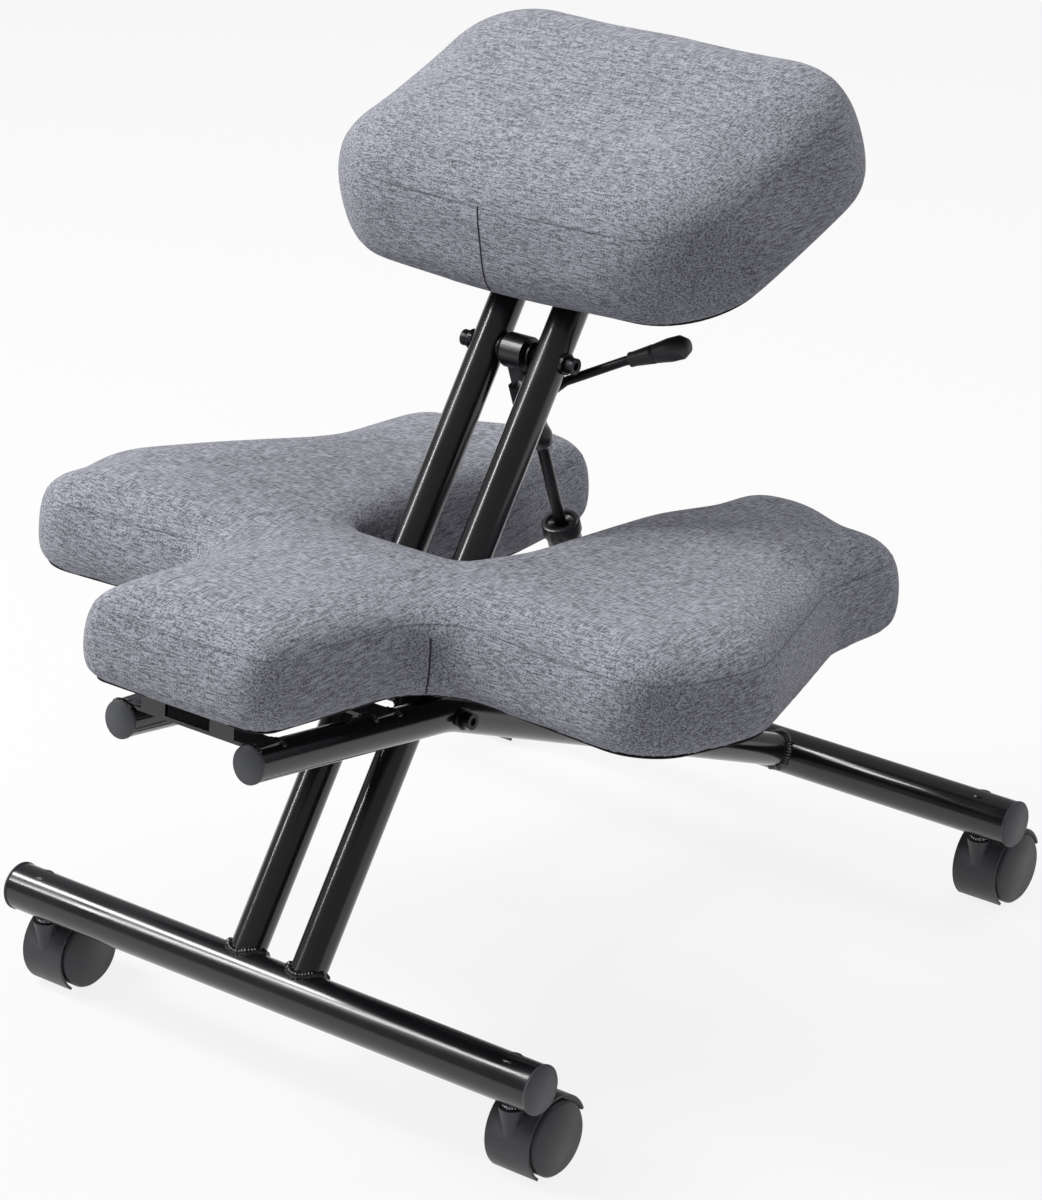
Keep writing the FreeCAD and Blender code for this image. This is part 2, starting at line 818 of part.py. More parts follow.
def lever_points():
    """The release lever's two bends and the grip's end, in the gas spring's own frame."""
    hub = Vector(0, 0, lever_level)
    turned = spring_place.Rotation.inverted()
    return [turned.multVec(Vector(*p)) + hub for p in (lever_bend_1, lever_bend_2, lever_tip)]


def release_lever():
    """The bent rod of the lever, flattened to a blade on its pivot pin in the head."""
    bend_1, bend_2, tip = lever_points()
    half_t = lever_blade_t / 2
    half_h = lever_blade_h / 2
    blade_end = head_block_width / 2 + lever_blade_reach
    blade = block(lever_pin_x - lever_blade_tail, blade_end, -half_t, half_t,
                  lever_level - half_h, lever_level + half_h)
    blade = blade.cut(Part.makeCylinder(lever_pin_d / 2 + running_gap, lever_blade_t,
                                        Vector(lever_pin_x, -half_t, lever_level), Y))
    neck = Vector(blade_end - lever_blade_socket, 0, lever_level)
    shape = blade.fuse(rod(neck, bend_1, lever_rod_d))
    shape = shape.fuse(Part.makeSphere(lever_rod_d / 2, bend_1))
    shape = shape.fuse(rod(bend_1, bend_2, lever_rod_d))
    shape = shape.fuse(Part.makeSphere(lever_rod_d / 2, bend_2))
    end = tip - (tip - bend_2).normalize() * grip_socket_wall
    shape = shape.fuse(rod(bend_2, end, lever_rod_d)).removeSplitter()
    shape.Placement = spring_place
    return shape


def lever_grip():
    """The moulded grip: a narrow collar, a groove half way and a fat rounded end."""
    bend_2, tip = lever_points()[1:]
    way = (tip - bend_2).normalize()
    start = tip - way * grip_length
    neck_r = grip_neck_d / 2
    end_r = grip_end_d / 2
    rod_r = lever_rod_d / 2
    middle_r = (neck_r + end_r) / 2
    points = [
        (rod_r, 0),
        (neck_r, 0),
        (neck_r, grip_neck_length),
        (middle_r, grip_groove_at - grip_groove),
        (middle_r - grip_groove, grip_groove_at),
        (middle_r, grip_groove_at + grip_groove),
        (end_r, grip_length - grip_end_length),
        (end_r, grip_length - grip_tip_length),
        (grip_tip_d / 2, grip_length),
        (0, grip_length),
        (0, grip_length - grip_socket_wall),
        (rod_r, grip_length - grip_socket_wall),
    ]
    shape = spun(points, start, way)
    shape.Placement = spring_place.multiply(shape.Placement)
    return shape


def lever_pin():
    """The pin that the lever turns on."""
    start = Vector(lever_pin_x, -head_boss_d / 2, lever_level)
    shape = Part.makeCylinder(lever_pin_d / 2, head_boss_d, start, Y)
    shape.Placement = spring_place
    return shape


def lower_cross_tube():
    """The tube welded between the rear legs, with the two clevis plates of the gas spring."""
    centre = lower_eye + rear_leg_dir * cross_tube_offset
    pipe = cross_rod(centre, -knee_tube_x, knee_tube_x, cross_tube_d)
    inner_x = eye_width / 2 + clevis_gap
    ears = None
    for side in (-1, 1):
        x_from = inner_x if side > 0 else -inner_x - clevis_t
        plate = cross_rod(lower_eye, x_from, x_from + clevis_t, eye_d)
        strap = block(x_from, x_from + clevis_t, 0, cross_tube_offset, -eye_d / 2, eye_d / 2)
        strap.Placement = Placement(lower_eye, Rotation(X, -knee_fall))
        plate = plate.fuse(strap)
        ears = plate if ears is None else ears.fuse(plate)
    shape = pipe.fuse(ears)
    shape = shape.cut(cross_rod(centre, -knee_tube_x, knee_tube_x, cross_tube_d - 2 * tube_wall))
    shape = shape.cut(cross_rod(lower_eye, -big, big, clevis_pin_d))
    return shape.cut(knee_tubes_envelope()).removeSplitter()


def clevis_pin():
    """The headed pin through the clevis and the eye, with its retaining ring."""
    half = eye_width / 2 + clevis_gap + clevis_t
    ring_x = half + clevis_ring_gap
    pin = cross_rod(lower_eye, -half, half + clevis_pin_tail, clevis_pin_d)
    head = cross_rod(lower_eye, -half - clevis_head_t, -half, clevis_head_d)
    ring = cross_rod(lower_eye, ring_x, ring_x + clevis_ring_t, clevis_ring_d)
    return pin.fuse(head).fuse(ring).removeSplitter()


def caster_stem(x, y):
    """The steel stem pressed into the bar's bush, with a bright collar and the lower pintle."""
    top = bar_height - bar_r
    collar_bottom = hood_top() + collar_ring_gap
    pintle_bottom = wheel_d / 2 + pintle_rise
    foot = Vector(x, y, top)
    stem = Part.makeCylinder(stem_d / 2, stem_length, foot, Z)
    collar = Part.makeCylinder(collar_ring_d / 2, top - collar_bottom, foot, Z * -1)
    pintle = Part.makeCylinder(pintle_d / 2, top - pintle_bottom, foot, Z * -1)
    return stem.fuse(collar).fuse(pintle).removeSplitter()


def hood_top():
    """Height of the hood's boss above the floor."""
    return wheel_d + hood_gap + hood_t - hood_boss_drop


def caster_hood(x, y):
    """The moulded hood: a shell over both wheels, the web between them and the swivel boss."""
    axis = Vector(x, y + trail, wheel_d / 2)
    inner_r = wheel_d / 2 + hood_gap
    outer_r = inner_r + hood_t
    start = axis - X * hood_half_width
    wheel_room = Part.makeCylinder(inner_r, 2 * hood_half_width, start, X)
    shell = Part.makeCylinder(outer_r, 2 * hood_half_width, start, X).cut(wheel_room)
    shell = shell.common(sector_prism(axis, hood_tail_angle, hood_nose_angle, hood_half_width))
    web_start = axis - X * hood_web_t / 2
    web = Part.makeCylinder(hood_web_d / 2, hood_web_t, web_start, X)
    bridge = Part.makeCylinder(inner_r + hood_t / 2, hood_web_t, web_start, X)
    bridge = bridge.common(sector_prism(axis, bridge_tail_angle, bridge_nose_angle, hood_web_t / 2))
    pintle_foot = Vector(x, y, wheel_d / 2 + pintle_rise)
    boss_foot = pintle_foot - Z * pintle_floor
    boss_h = hood_top() - boss_foot.z
    boss = Part.makeCone(hood_boss_foot_d / 2, hood_boss_d / 2, boss_h, boss_foot, Z)
    between_wheels = Part.makeCylinder(big, hood_web_t, web_start, X)
    boss = boss.cut(wheel_room).fuse(boss.common(between_wheels))
    shape = shell.fuse(web).fuse(bridge).fuse(boss)
    pintle_hole = Part.makeCylinder(pintle_d / 2 + running_gap, big, pintle_foot, Z)
    axle_hole = Part.makeCylinder(axle_d / 2, hood_web_t, web_start, X)
    return shape.cut(pintle_hole).cut(axle_hole).removeSplitter()


def sector_prism(axis, start_angle, end_angle, half_width):
    """A wedge about an axis along X, to keep part of a ring. Angles run from +Y upwards."""
    steps = 4
    span = end_angle - start_angle
    rim = [turn_x(start_angle + span * i / steps, Y) * big for i in range(steps + 1)]
    corners = [Vector(0, 0, 0)] + rim + [Vector(0, 0, 0)]
    wedge = Part.Face(Part.makePolygon(corners)).extrude(X * 2 * half_width)
    wedge.translate(axis - X * half_width)
    return wedge


def caster_axle(x, y):
    """The axle pressed through the hood's web."""
    half = wheel_outer_x - wheel_disc_t - side_gap
    axis = Vector(0, y + trail, wheel_d / 2)
    return cross_rod(axis, x - half, x + half, axle_d)


def caster_wheel(x, y, side):
    """A wheel with a flat outer disc, a rim and a hub, open towards the hood's web."""
    outer = wheel_outer_x
    inner = wheel_outer_x - wheel_width
    bore = axle_d / 2 + running_gap
    rim_r = wheel_d / 2
    points = [
        (0, outer),
        (rim_r - wheel_edge, outer),
        (rim_r, outer - wheel_edge),
        (rim_r, inner),
        (rim_r - wheel_rim_t, inner),
        (rim_r - wheel_rim_t, outer - wheel_disc_t),
        (wheel_hub_d / 2, outer - wheel_disc_t),
        (wheel_hub_d / 2, inner),
        (bore, inner),
        (bore, outer - wheel_disc_t),
        (0, outer - wheel_disc_t),
    ]
    return spun(points, Vector(x, y + trail, wheel_d / 2), X * side)


def pieces():
    """Every piece of the chair by name, in the frame of the front floor bar."""
    named = {}
    front_half = front_bar_length / 2
    rear_half = rear_bar_length / 2
    named["front_floor_bar"] = floor_bar(front_bar, front_bar_length, front_stem_x)
    cap = end_cap(bar_d, bar_wall, front_bar + X * front_half, X)
    named["front_bar_end_caps"] = both_sides(cap)
    named["seat_tube_right"] = seat_tube()
    named["seat_tube_left"] = mirrored(named["seat_tube_right"])
    named["seat_mounting_plate"] = seat_plate()
    seat_pocket = drawn_in(seat_outline(), seat_board_inset)
    named["seat_board"] = bored_board(seat_pocket, seat_screw_x, seat_screw_ys, seat_place)
    seat_form = cushion(seat_outline(), seat_height, seat_pocket)
    seat_form.Placement = seat_place
    named["seat_cushion"] = seat_form
    named["seat_screws"] = board_screw_set(seat_screw_x, seat_screw_ys, seat_place, plate_t)
    named["seat_tee_nuts"] = tee_nut_set(seat_screw_x, seat_screw_ys, seat_place)

    seat_bush_end = seat_tube_x + tube_r + bush_proud
    seat_bush_start = seat_tube_x - tube_r - bush_proud
    knee_bush_end = knee_tube_x + tube_r + bush_proud
    knee_bush_start = knee_tube_x - tube_r - bush_proud
    named["upper_cross_shaft"] = drilled_shaft(upper_shaft, seat_bush_end)
    start = upper_shaft + X * seat_bush_end
    ring = washer(start, X, washer_d, screw_shank_d, washer_t)
    screw = socket_screw(start + X * washer_t, X)
    named["upper_shaft_screws"] = both_sides(screw)
    named["upper_shaft_washers"] = both_sides(ring)
    spacer_from = head_barrel_width / 2 + side_gap
    named["upper_shaft_spacers"] = both_sides(flanged_spacer(spacer_from, seat_bush_start))

    named["rear_floor_bar"] = floor_bar(rear_bar, rear_bar_length, rear_stem_x)
    cap = end_cap(bar_d, bar_wall, rear_bar + X * rear_half, X)
    named["rear_bar_end_caps"] = both_sides(cap)
    named["knee_tube_right"] = knee_tube()
    named["knee_tube_left"] = mirrored(named["knee_tube_right"])
    cap = end_cap(tube_d, tube_wall, front_end + X * knee_tube_x, turn_x(-knee_rise, Y) * -1)
    named["knee_tube_end_caps"] = both_sides(cap)
    named["pad_front_bracket"] = pad_bracket(front_bracket_y)
    named["pad_rear_bracket"] = pad_bracket(rear_bracket_y)
    pad_pocket = drawn_in(pad_outline(), pad_board_inset)
    board_shape = bored_board(pad_pocket, pad_screw_x, pad_screw_ys, pad_place)
    named["knee_pad_board"] = board_shape.cut(seat_tube_relief())
    named["knee_pad"] = knee_pad()
    named["pad_screws"] = board_screw_set(pad_screw_x, pad_screw_ys, pad_place, plate_t)
    named["pad_tee_nuts"] = tee_nut_set(pad_screw_x, pad_screw_ys, pad_place)
    named["scissor_pivot_shaft"] = drilled_shaft(pivot, knee_bush_end)
    start = pivot + X * knee_bush_end
    named["pivot_washers"] = both_sides(washer(start, X, washer_d, screw_shank_d, washer_t))
    named["pivot_screws"] = both_sides(socket_screw(start + X * washer_t, X))
    spacer_t = knee_bush_start - seat_bush_end - side_gap
    spacer = washer(pivot + X * (seat_bush_end + side_gap), X, bush_d, shaft_d, spacer_t)
    named["pivot_spacers"] = both_sides(spacer)
    named["lower_cross_tube"] = lower_cross_tube()
    named["clevis_pin"] = clevis_pin()

    named["release_head"] = release_head()
    named["gas_spring_rod"] = gas_rod()
    named["gas_spring_piston"] = gas_piston()
    named["lever_pivot_pin"] = lever_pin()
    named["release_pin"] = release_pin()
    named["gas_spring_cylinder"] = gas_cylinder()
    named["gas_spring_collar"] = gas_collar()
    named["gas_spring_eye"] = gas_eye()
    named["release_lever"] = release_lever()
    named["lever_grip"] = lever_grip()

    for row, y, stem_x in (("front", 0.0, front_stem_x), ("rear", wheelbase, rear_stem_x)):
        stems = [caster_stem(side * stem_x, y) for side in (-1, 1)]
        named[row + "_caster_stems"] = Part.makeCompound(stems)
        for hand, side in (("left", -1), ("right", 1)):
            x = side * stem_x
            name = row + "_" + hand
            named[name + "_caster_hood"] = caster_hood(x, y)
            named[name + "_caster_axle"] = caster_axle(x, y)
            named[name + "_wheel_inner"] = caster_wheel(x, y, -side)
            named[name + "_wheel_outer"] = caster_wheel(x, y, side)
    return named


def write_all():
    """Write each piece to its own file and print the places that the joints turn about."""
    os.makedirs("parts", exist_ok=True)
    for name, shape in pieces().items():
        shape.translate(origin_shift)
        shape.exportStep("parts/" + name + ".step")
    places = {
        "pivot": pivot,
        "upper_shaft": upper_shaft,
        "lower_eye": lower_eye,
        "lever_pin": spring_place.multVec(Vector(lever_pin_x, 0, lever_level)),
        "seat_top": seat_place.multVec(Vector(0, 0, seat_height)),
        "pad_top": pad_place.multVec(Vector(0, waist_y, pad_height)),
        "front_caster": Vector(front_stem_x, 0, wheel_d / 2),
        "rear_caster": Vector(rear_stem_x, wheelbase, wheel_d / 2),
        "front_wheels": Vector(front_stem_x, trail, wheel_d / 2),
        "rear_wheels": Vector(rear_stem_x, wheelbase + trail, wheel_d / 2),
    }
    for name, point in places.items():
        point = point + origin_shift
        print(name, round(point.x, 3), round(point.y, 3), round(point.z, 3))


write_all()
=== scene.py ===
# %% [markdown]
# # A kneeling chair
# The chair has two cushions on a scissor of black tubes. The seat tubes lean back from the front
# floor bar, the knee tubes cross them and run down to the rear bar, and a gas spring between the
# two sets the angle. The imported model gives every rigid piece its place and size, so this script
# only dresses it: cushions, cloth, paint, welds, light and camera.

import json
import math

import bmesh
import bpy
import numpy
from mathutils import Matrix, Vector
from mathutils.geometry import intersect_point_line, tessellate_polygon


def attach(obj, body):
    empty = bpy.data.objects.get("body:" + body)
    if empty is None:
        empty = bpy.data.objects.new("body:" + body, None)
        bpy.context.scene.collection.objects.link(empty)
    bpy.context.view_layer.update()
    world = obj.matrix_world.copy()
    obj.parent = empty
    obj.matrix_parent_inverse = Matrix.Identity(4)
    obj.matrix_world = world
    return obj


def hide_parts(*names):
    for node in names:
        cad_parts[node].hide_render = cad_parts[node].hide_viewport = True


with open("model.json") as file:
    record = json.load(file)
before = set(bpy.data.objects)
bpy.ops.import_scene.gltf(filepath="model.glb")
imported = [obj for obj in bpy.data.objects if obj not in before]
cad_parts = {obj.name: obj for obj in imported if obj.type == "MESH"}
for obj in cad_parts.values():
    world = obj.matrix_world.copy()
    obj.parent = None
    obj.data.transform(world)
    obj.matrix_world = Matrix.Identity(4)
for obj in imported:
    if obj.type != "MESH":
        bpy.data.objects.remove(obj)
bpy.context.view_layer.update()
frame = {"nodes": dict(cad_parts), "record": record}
nodes = frame["nodes"]
home = {node: body for body, members in frame["record"]["behaviour"]["bodies"].items()
        for node in members}
scene = bpy.context.scene
scene.view_settings.view_transform = "Standard"
MM = 0.001

# %% [markdown]
# ## Camera
# The photograph was taken from the front right, a little above the seat. Azimuth, height and
# focal length were fitted to the bars, tubes and wheels, whose real sizes are known. A view that
# is cropped off centre needs a small lens shift, and nothing else has to be bent to match it.

# %% Camera
camera_azimuth = math.radians(38.514)
camera_elevation = math.radians(22.607)
camera_roll = math.radians(0.094)
camera_place = Vector((1.96398, -2.42406, 1.63))
image_width = 1042
image_height = 1200
focal_pixels = 4277.63
view_centre = (528.72, 578.90)

camera_data = bpy.data.cameras.new("camera")
camera_data.sensor_width = 36.0
camera_data.lens = focal_pixels / image_height * camera_data.sensor_width
camera_data.shift_x = (image_width / 2 - view_centre[0]) / image_height
camera_data.shift_y = (view_centre[1] - image_height / 2) / image_height
camera_data.clip_end = 60.0
camera = bpy.data.objects.new("camera", camera_data)
turned = Matrix.Rotation(camera_azimuth, 4, "Z")
tilted = Matrix.Rotation(math.pi / 2 - camera_elevation, 4, "X")
rolled = Matrix.Rotation(camera_roll, 4, "Z")
camera.matrix_world = Matrix.Translation(camera_place) @ turned @ tilted @ rolled
scene.collection.objects.link(camera)
scene.camera = camera
print("lens", round(camera_data.lens, 2), "mm")

# %% [markdown]
# ## Node trees
# The world, the floor, every finish and the trees that sew and weld are built from nodes. One
# helper adds a node, sets what it is told and wires the node's inputs.


# %% A helper for node trees
def tree_node(tree, kind, inputs=(), **settings):
    """A new node of a tree. Its inputs are pairs of a socket and a source or value."""
    node = tree.nodes.new(kind)
    for label, value in settings.items():
        setattr(node, label, value)
    for socket, source in inputs:
        if isinstance(source, bpy.types.NodeSocket):
            tree.links.new(source, node.inputs[socket])
        else:
            node.inputs[socket].default_value = source
    return node


# %% [markdown]
# ## Light
# A product photograph of black tubes is lit by large soft boxes: each box draws one long bright
# strip on a tube. The place of a strip round a tube tells where its box stands, because the tube's
# surface mirrors it there. A box whose long side runs along the floor bars gives their strip, an
# upright one gives the strip on the leaning tubes, and a third lights the tops from behind. The
# world adds even light to the shadows, and only the camera sees it as a white wall.


# %% Soft boxes and world
def aim(thing, target, along):
    """Turns a lamp so that it shines at a point, with its long side along a direction."""
    back = (thing.location - target).normalized()
    side = (along - back * along.dot(back)).normalized()
    thing.rotation_euler = Matrix((side, back.cross(side), back)).transposed().to_euler()


chair_middle = Vector((0.0, 0.0, 0.35))
crosswise = Vector((1, 0, 0))
upwards = Vector((0, 0, 1))


def soft_box(name, place, along, size, watts):
    """A rectangular area lamp that shines at the chair's middle."""
    data = bpy.data.lights.new(name, "AREA")
    data.shape = "RECTANGLE"
    data.size, data.size_y = size
    data.energy = watts
    lamp = bpy.data.objects.new(name, data)
    scene.collection.objects.link(lamp)
    lamp.location = place
    aim(lamp, chair_middle, along)


soft_box("bar_box", Vector((-1.95, -1.05, 2.9)), crosswise, (2.0, 0.6), 88.0)
soft_box("tube_strip", Vector((-1.85, -1.7, 2.1)), upwards, (1.4, 0.24), 26.0)
soft_box("rear_box", Vector((0.4, 1.7, 3.0)), crosswise, (1.8, 1.2), 36.0)

world = bpy.data.worlds.new("studio")
world.use_nodes = True
studio = world.node_tree
even_light = studio.nodes["Background"]
even_light.inputs["Color"].default_value = (0.97, 0.98, 1.0, 1.0)
even_light.inputs["Strength"].default_value = 0.29
white_wall = tree_node(studio, "ShaderNodeBackground", [("Color", (0.95, 0.95, 0.95, 1.0))])
by_ray = tree_node(studio, "ShaderNodeLightPath")
either = tree_node(studio, "ShaderNodeMixShader",
                   [(0, by_ray.outputs["Is Camera Ray"]), (1, even_light.outputs[0]),
                    (2, white_wall.outputs[0])])
studio.links.new(either.outputs[0], studio.nodes["World Output"].inputs["Surface"])
scene.world = world
print("lamps:", len(bpy.data.lights))

# %% [markdown]
# ## Floor
# The photograph's background is white paper. Its colour comes from a floor that glows white only
# for the camera and for reflections, mixed with plain matt paper, so that the soft shadow of the
# chair stays on it.


# %% Floor
def floor_sheet(size):
    """A large white square at height zero."""
    mesh = bpy.data.meshes.new("floor")
    half = size / 2
    mesh.from_pydata([(-half, -half, 0), (half, -half, 0), (half, half, 0), (-half, half, 0)],
                     [], [(0, 1, 2, 3)])
    sheet = bpy.data.objects.new("floor", mesh)
    scene.collection.objects.link(sheet)
    return sheet


def paper_white(glow_share):
    """White paper, lifted towards pure white for the camera and for mirrors."""
    material = bpy.data.materials.new("paper_white")
    material.use_nodes = True
    tree = material.node_tree
    tree.nodes.clear()
    paper = tree_node(tree, "ShaderNodeBsdfDiffuse", [("Color", (0.72, 0.72, 0.72, 1))])
    glow = tree_node(tree, "ShaderNodeEmission", [("Strength", 1.0)])
    ray = tree_node(tree, "ShaderNodeLightPath")
    seen = tree_node(tree, "ShaderNodeMath",
                     [(0, ray.outputs["Is Camera Ray"]), (1, ray.outputs["Is Glossy Ray"])],
                     operation="MAXIMUM")
    share = tree_node(tree, "ShaderNodeMath", [(0, seen.outputs[0]), (1, glow_share)],
                      operation="MULTIPLY")
    mix = tree_node(tree, "ShaderNodeMixShader",
                    [(0, share.outputs[0]), (1, paper.outputs[0]), (2, glow.outputs[0])])
    tree_node(tree, "ShaderNodeOutputMaterial", [("Surface", mix.outputs[0])])
    return material


floor = floor_sheet(40.0)
floor.data.materials.append(paper_white(0.86))
print("floor:", floor.name)

# %% [markdown]
# ## Finishes
# Every finish is built from nodes on Object coordinates, in metres, so a pattern keeps its real
# size on every piece. Constant values sit on the shader's own sockets. One helper makes the
# shader, one adds noise, one mixes two colours by a noise, and one adds a bump.


# %% Helpers for finishes
def linear(red, green, blue):
    """An sRGB colour of 0 to 255 as linear values."""
    def channel(value):
        value = value / 255
        return value / 12.92 if value <= 0.04045 else ((value + 0.055) / 1.055) ** 2.4
    return (channel(red), channel(green), channel(blue), 1.0)


def finish(name, colour, roughness, **sockets):
    """A new material with one principled shader and the given constant socket values."""
    material = bpy.data.materials.new(name)
    material.use_nodes = True
    shader = material.node_tree.nodes["Principled BSDF"]
    shader.inputs["Base Color"].default_value = linear(*colour)
    shader.inputs["Roughness"].default_value = roughness
    for label, value in sockets.items():
        shader.inputs[label.replace("_", " ")].default_value = value
    material.diffuse_color = linear(*colour)
    return material


def object_place(material, stretch=(1, 1, 1), turn=(0, 0, 0)):
    """Object coordinates, turned and stretched along their own axes."""
    place = tree_node(material.node_tree, "ShaderNodeTexCoord")
    mapping = tree_node(material.node_tree, "ShaderNodeMapping",
                        [("Vector", place.outputs["Object"]), ("Rotation", turn),
                         ("Scale", stretch)])
    return mapping.outputs["Vector"]


def grain(material, vector, size, detail=2.0, rough=0.5):
    """A noise whose blobs are about the given size in metres."""
    noise = tree_node(material.node_tree, "ShaderNodeTexNoise",
                      [("Vector", vector), ("Scale", 1.0 / size), ("Detail", detail),
                       ("Roughness", rough)])
    return noise.outputs["Fac"]


def spread(material, value, low, high, to_low=0.0, to_high=1.0):
    """A value moved from one range to another and clamped there."""
    ranged = tree_node(material.node_tree, "ShaderNodeMapRange",
                       [("Value", value), ("From Min", low), ("From Max", high),
                        ("To Min", to_low), ("To Max", to_high)])
    return ranged.outputs["Result"]


def mean_of(material, values):
    """The mean of several values."""
    total = values[0]
    for value in values[1:]:
        added = tree_node(material.node_tree, "ShaderNodeMath", [(0, total), (1, value)],
                          operation="ADD")
        total = added.outputs[0]
    share = tree_node(material.node_tree, "ShaderNodeMath", [(0, total), (1, len(values))],
                      operation="DIVIDE")
    return share.outputs[0]


def wire(material, source, label):
    """Wires a source to a socket of the material's shader."""
    shader = material.node_tree.nodes["Principled BSDF"]
    material.node_tree.links.new(source, shader.inputs[label])


def blend_colours(material, share, dark, light):
    """Two colours mixed by a share, wired to the shader's base colour."""
    mix = tree_node(material.node_tree, "ShaderNodeMix",
                    [(0, share), (6, linear(*dark)), (7, linear(*light))], data_type="RGBA")
    wire(material, mix.outputs[2], "Base Color")


def rough_by(material, value, low, high):
    """Roughness that follows a noise between two values."""
    wire(material, spread(material, value, 0.3, 0.7, low, high), "Roughness")


def bump_by(material, height, depth):
    """A bump of the given depth in metres."""
    bump = tree_node(material.node_tree, "ShaderNodeBump",
                     [("Height", height), ("Distance", depth)])
    wire(material, bump.outputs["Normal"], "Normal")


# %% [markdown]
# ## Powder coat
# The tubes are black powder coat: baked plastic dust, glossy, with a very shallow orange peel
# about two millimetres across. Two noises make it. The small one is the peel, and the large one
# lets the gloss wander a little along a tube.


# %% Powder coat
def powder_coat():
    """Glossy black powder coat with orange peel."""
    material = finish("powder_coat", (20, 20, 23), 0.2, IOR=1.5, Coat_Weight=0.3,
                      Coat_Roughness=0.1)
    place = object_place(material)
    peel = grain(material, place, 0.0022, detail=1.0)
    drift = grain(material, place, 0.06)
    blend_colours(material, drift, (16, 16, 19), (25, 25, 28))
    rough_by(material, drift, 0.16, 0.25)
    bump_by(material, peel, 0.000012)
    return material


# %% [markdown]
# ## Moulded plastics
# End caps, casters and the lever's grip are moulded. The caps are matt with a fine spark-eroded
# grain, and the casters are smoother and pick up a broad soft sheen.


# %% Moulded plastics
def moulded(name, dark, light, smooth, rough, grain_size, depth):
    """Moulded plastic with a fine grain and slow colour drift."""
    material = finish(name, light, smooth, IOR=1.5)
    place = object_place(material)
    fine = grain(material, place, grain_size, detail=3.0)
    drift = grain(material, place, 0.03)
    blend_colours(material, drift, dark, light)
    rough_by(material, drift, smooth, rough)
    bump_by(material, fine, depth)
    return material


# %% [markdown]
# ## Metals
# Screws, washers, spacers and the lever's rod are blackened steel. Stems, axles and pins are
# bright zinc. The gas spring has satin black paint with a fainter peel than the tubes.


# %% Metals
def steel(name, dark, light, smooth, rough, metallic):
    """A metal with fine brush marks and a slow drift of colour."""
    material = finish(name, light, smooth, Metallic=metallic)
    fine = grain(material, object_place(material, stretch=(0.25, 1, 1)), 0.0004, detail=2.0)
    drift = grain(material, object_place(material), 0.012)
    blend_colours(material, drift, dark, light)
    rough_by(material, drift, smooth, rough)
    bump_by(material, fine, 0.00001)
    return material


def spring_paint():
    """Satin black paint on the gas spring."""
    material = finish("spring_paint", (26, 26, 29), 0.32, IOR=1.5, Coat_Weight=0.1)
    place = object_place(material)
    blend_colours(material, grain(material, place, 0.04), (22, 22, 25), (32, 32, 35))
    bump_by(material, grain(material, place, 0.0012), 0.00002)
    return material


def plywood():
    """Birch plywood: long grain on the faces and thin layers on the edge."""
    material = finish("plywood", (196, 164, 120), 0.62)
    fibres = grain(material, object_place(material, stretch=(0.08, 1, 1)), 0.0012, detail=4.0)
    layers = grain(material, object_place(material, stretch=(0.02, 0.02, 1)), 0.0015)
    share = spread(material, mean_of(material, [fibres, layers]), 0.35, 0.65)
    blend_colours(material, share, (158, 122, 80), (214, 186, 142))
    bump_by(material, fibres, 0.00008)
    return material


coat = powder_coat()
cap_plastic = moulded("black_plastic", (62, 63, 67), (78, 79, 84), 0.42, 0.55, 0.0005, 0.00003)
caster_plastic = moulded("caster_plastic", (46, 46, 50), (58, 58, 63), 0.38, 0.5, 0.0008, 0.00002)
grip_plastic = moulded("grip_plastic", (38, 38, 41), (50, 50, 54), 0.4, 0.55, 0.0006, 0.00004)
black_steel = steel("black_steel", (30, 30, 33), (52, 52, 56), 0.28, 0.42, 0.7)
bright_steel = steel("bright_steel", (176, 178, 184), (214, 216, 220), 0.16, 0.3, 1.0)
spring_black = spring_paint()
ply = plywood()
print("finishes:", len(bpy.data.materials))

# %% [markdown]
# ## Rigid pieces
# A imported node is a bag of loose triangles, which would show every facet in a glossy reflection.
# So each rigid piece that shows gets a copy: the corners are merged and faces under thirty degrees
# are shaded as one smooth surface. The flat pressed pieces also get a fine bevel that catches the
# light, as bent steel does. A round piece gets none, because hardened bevels would draw its facets
# again. A tube's outside gets the normals of a true round tube, worked out from its axis, so that
# its long reflections run straight. The node itself is left alone and the copy stands for it.


# %% Where the tubes run
# In millimetres and degrees, as in the CAD source. A middle is where an axis crosses the chair's
# middle plane, and a line may run on past the end of its tube.
bar_radius = 19.05
leg_radius = 14.3
cross_radius = 11.0
seat_tube_x = 30.7
knee_tube_x = 63.7
knee_rise = 9.6
knee_fall = 23.385
bend_radius = 120.0
seat_tube_lean = 54.3
front_bar_middle = Vector((0, -274.881, 85.0))
rear_bar_middle = Vector((0, 318.119, 85.0))
cross_middle = Vector((0, 176.703, 146.153))
bend_middle = Vector((0, -168.712, 164.783))
both_hands = (-1, 1)


def slope(degrees):
    """A direction along the chair that rises towards the rear by an angle."""
    return Vector((0, math.cos(math.radians(degrees)), math.sin(math.radians(degrees))))


def beside(point, x):
    """A point of the middle plane moved across the chair."""
    return point + Vector((x, 0, 0))


def crosswise_line(middle, half=400):
    """The axis of a bar or tube that runs across the chair."""
    return [beside(middle, -half), beside(middle, half)]


def seat_line(x, length=700):
    """The axis of a seat tube, from the front bar upwards."""
    start = beside(front_bar_middle, x)
    return [start, start + seat_way * length]


def knee_line(x, front_length=260, steps=8):
    """The axis of a knee tube: a straight front, a slow bend and a straight rear leg."""
    bend = []
    for k in range(steps + 1):
        fall = knee_rise + (knee_fall - knee_rise) * k / steps
        bend.append(beside(bend_middle, x) + slope(90 - fall) * bend_radius)
    return [bend[0] - slope(-knee_rise) * front_length] + bend + [beside(rear_bar_middle, x)]


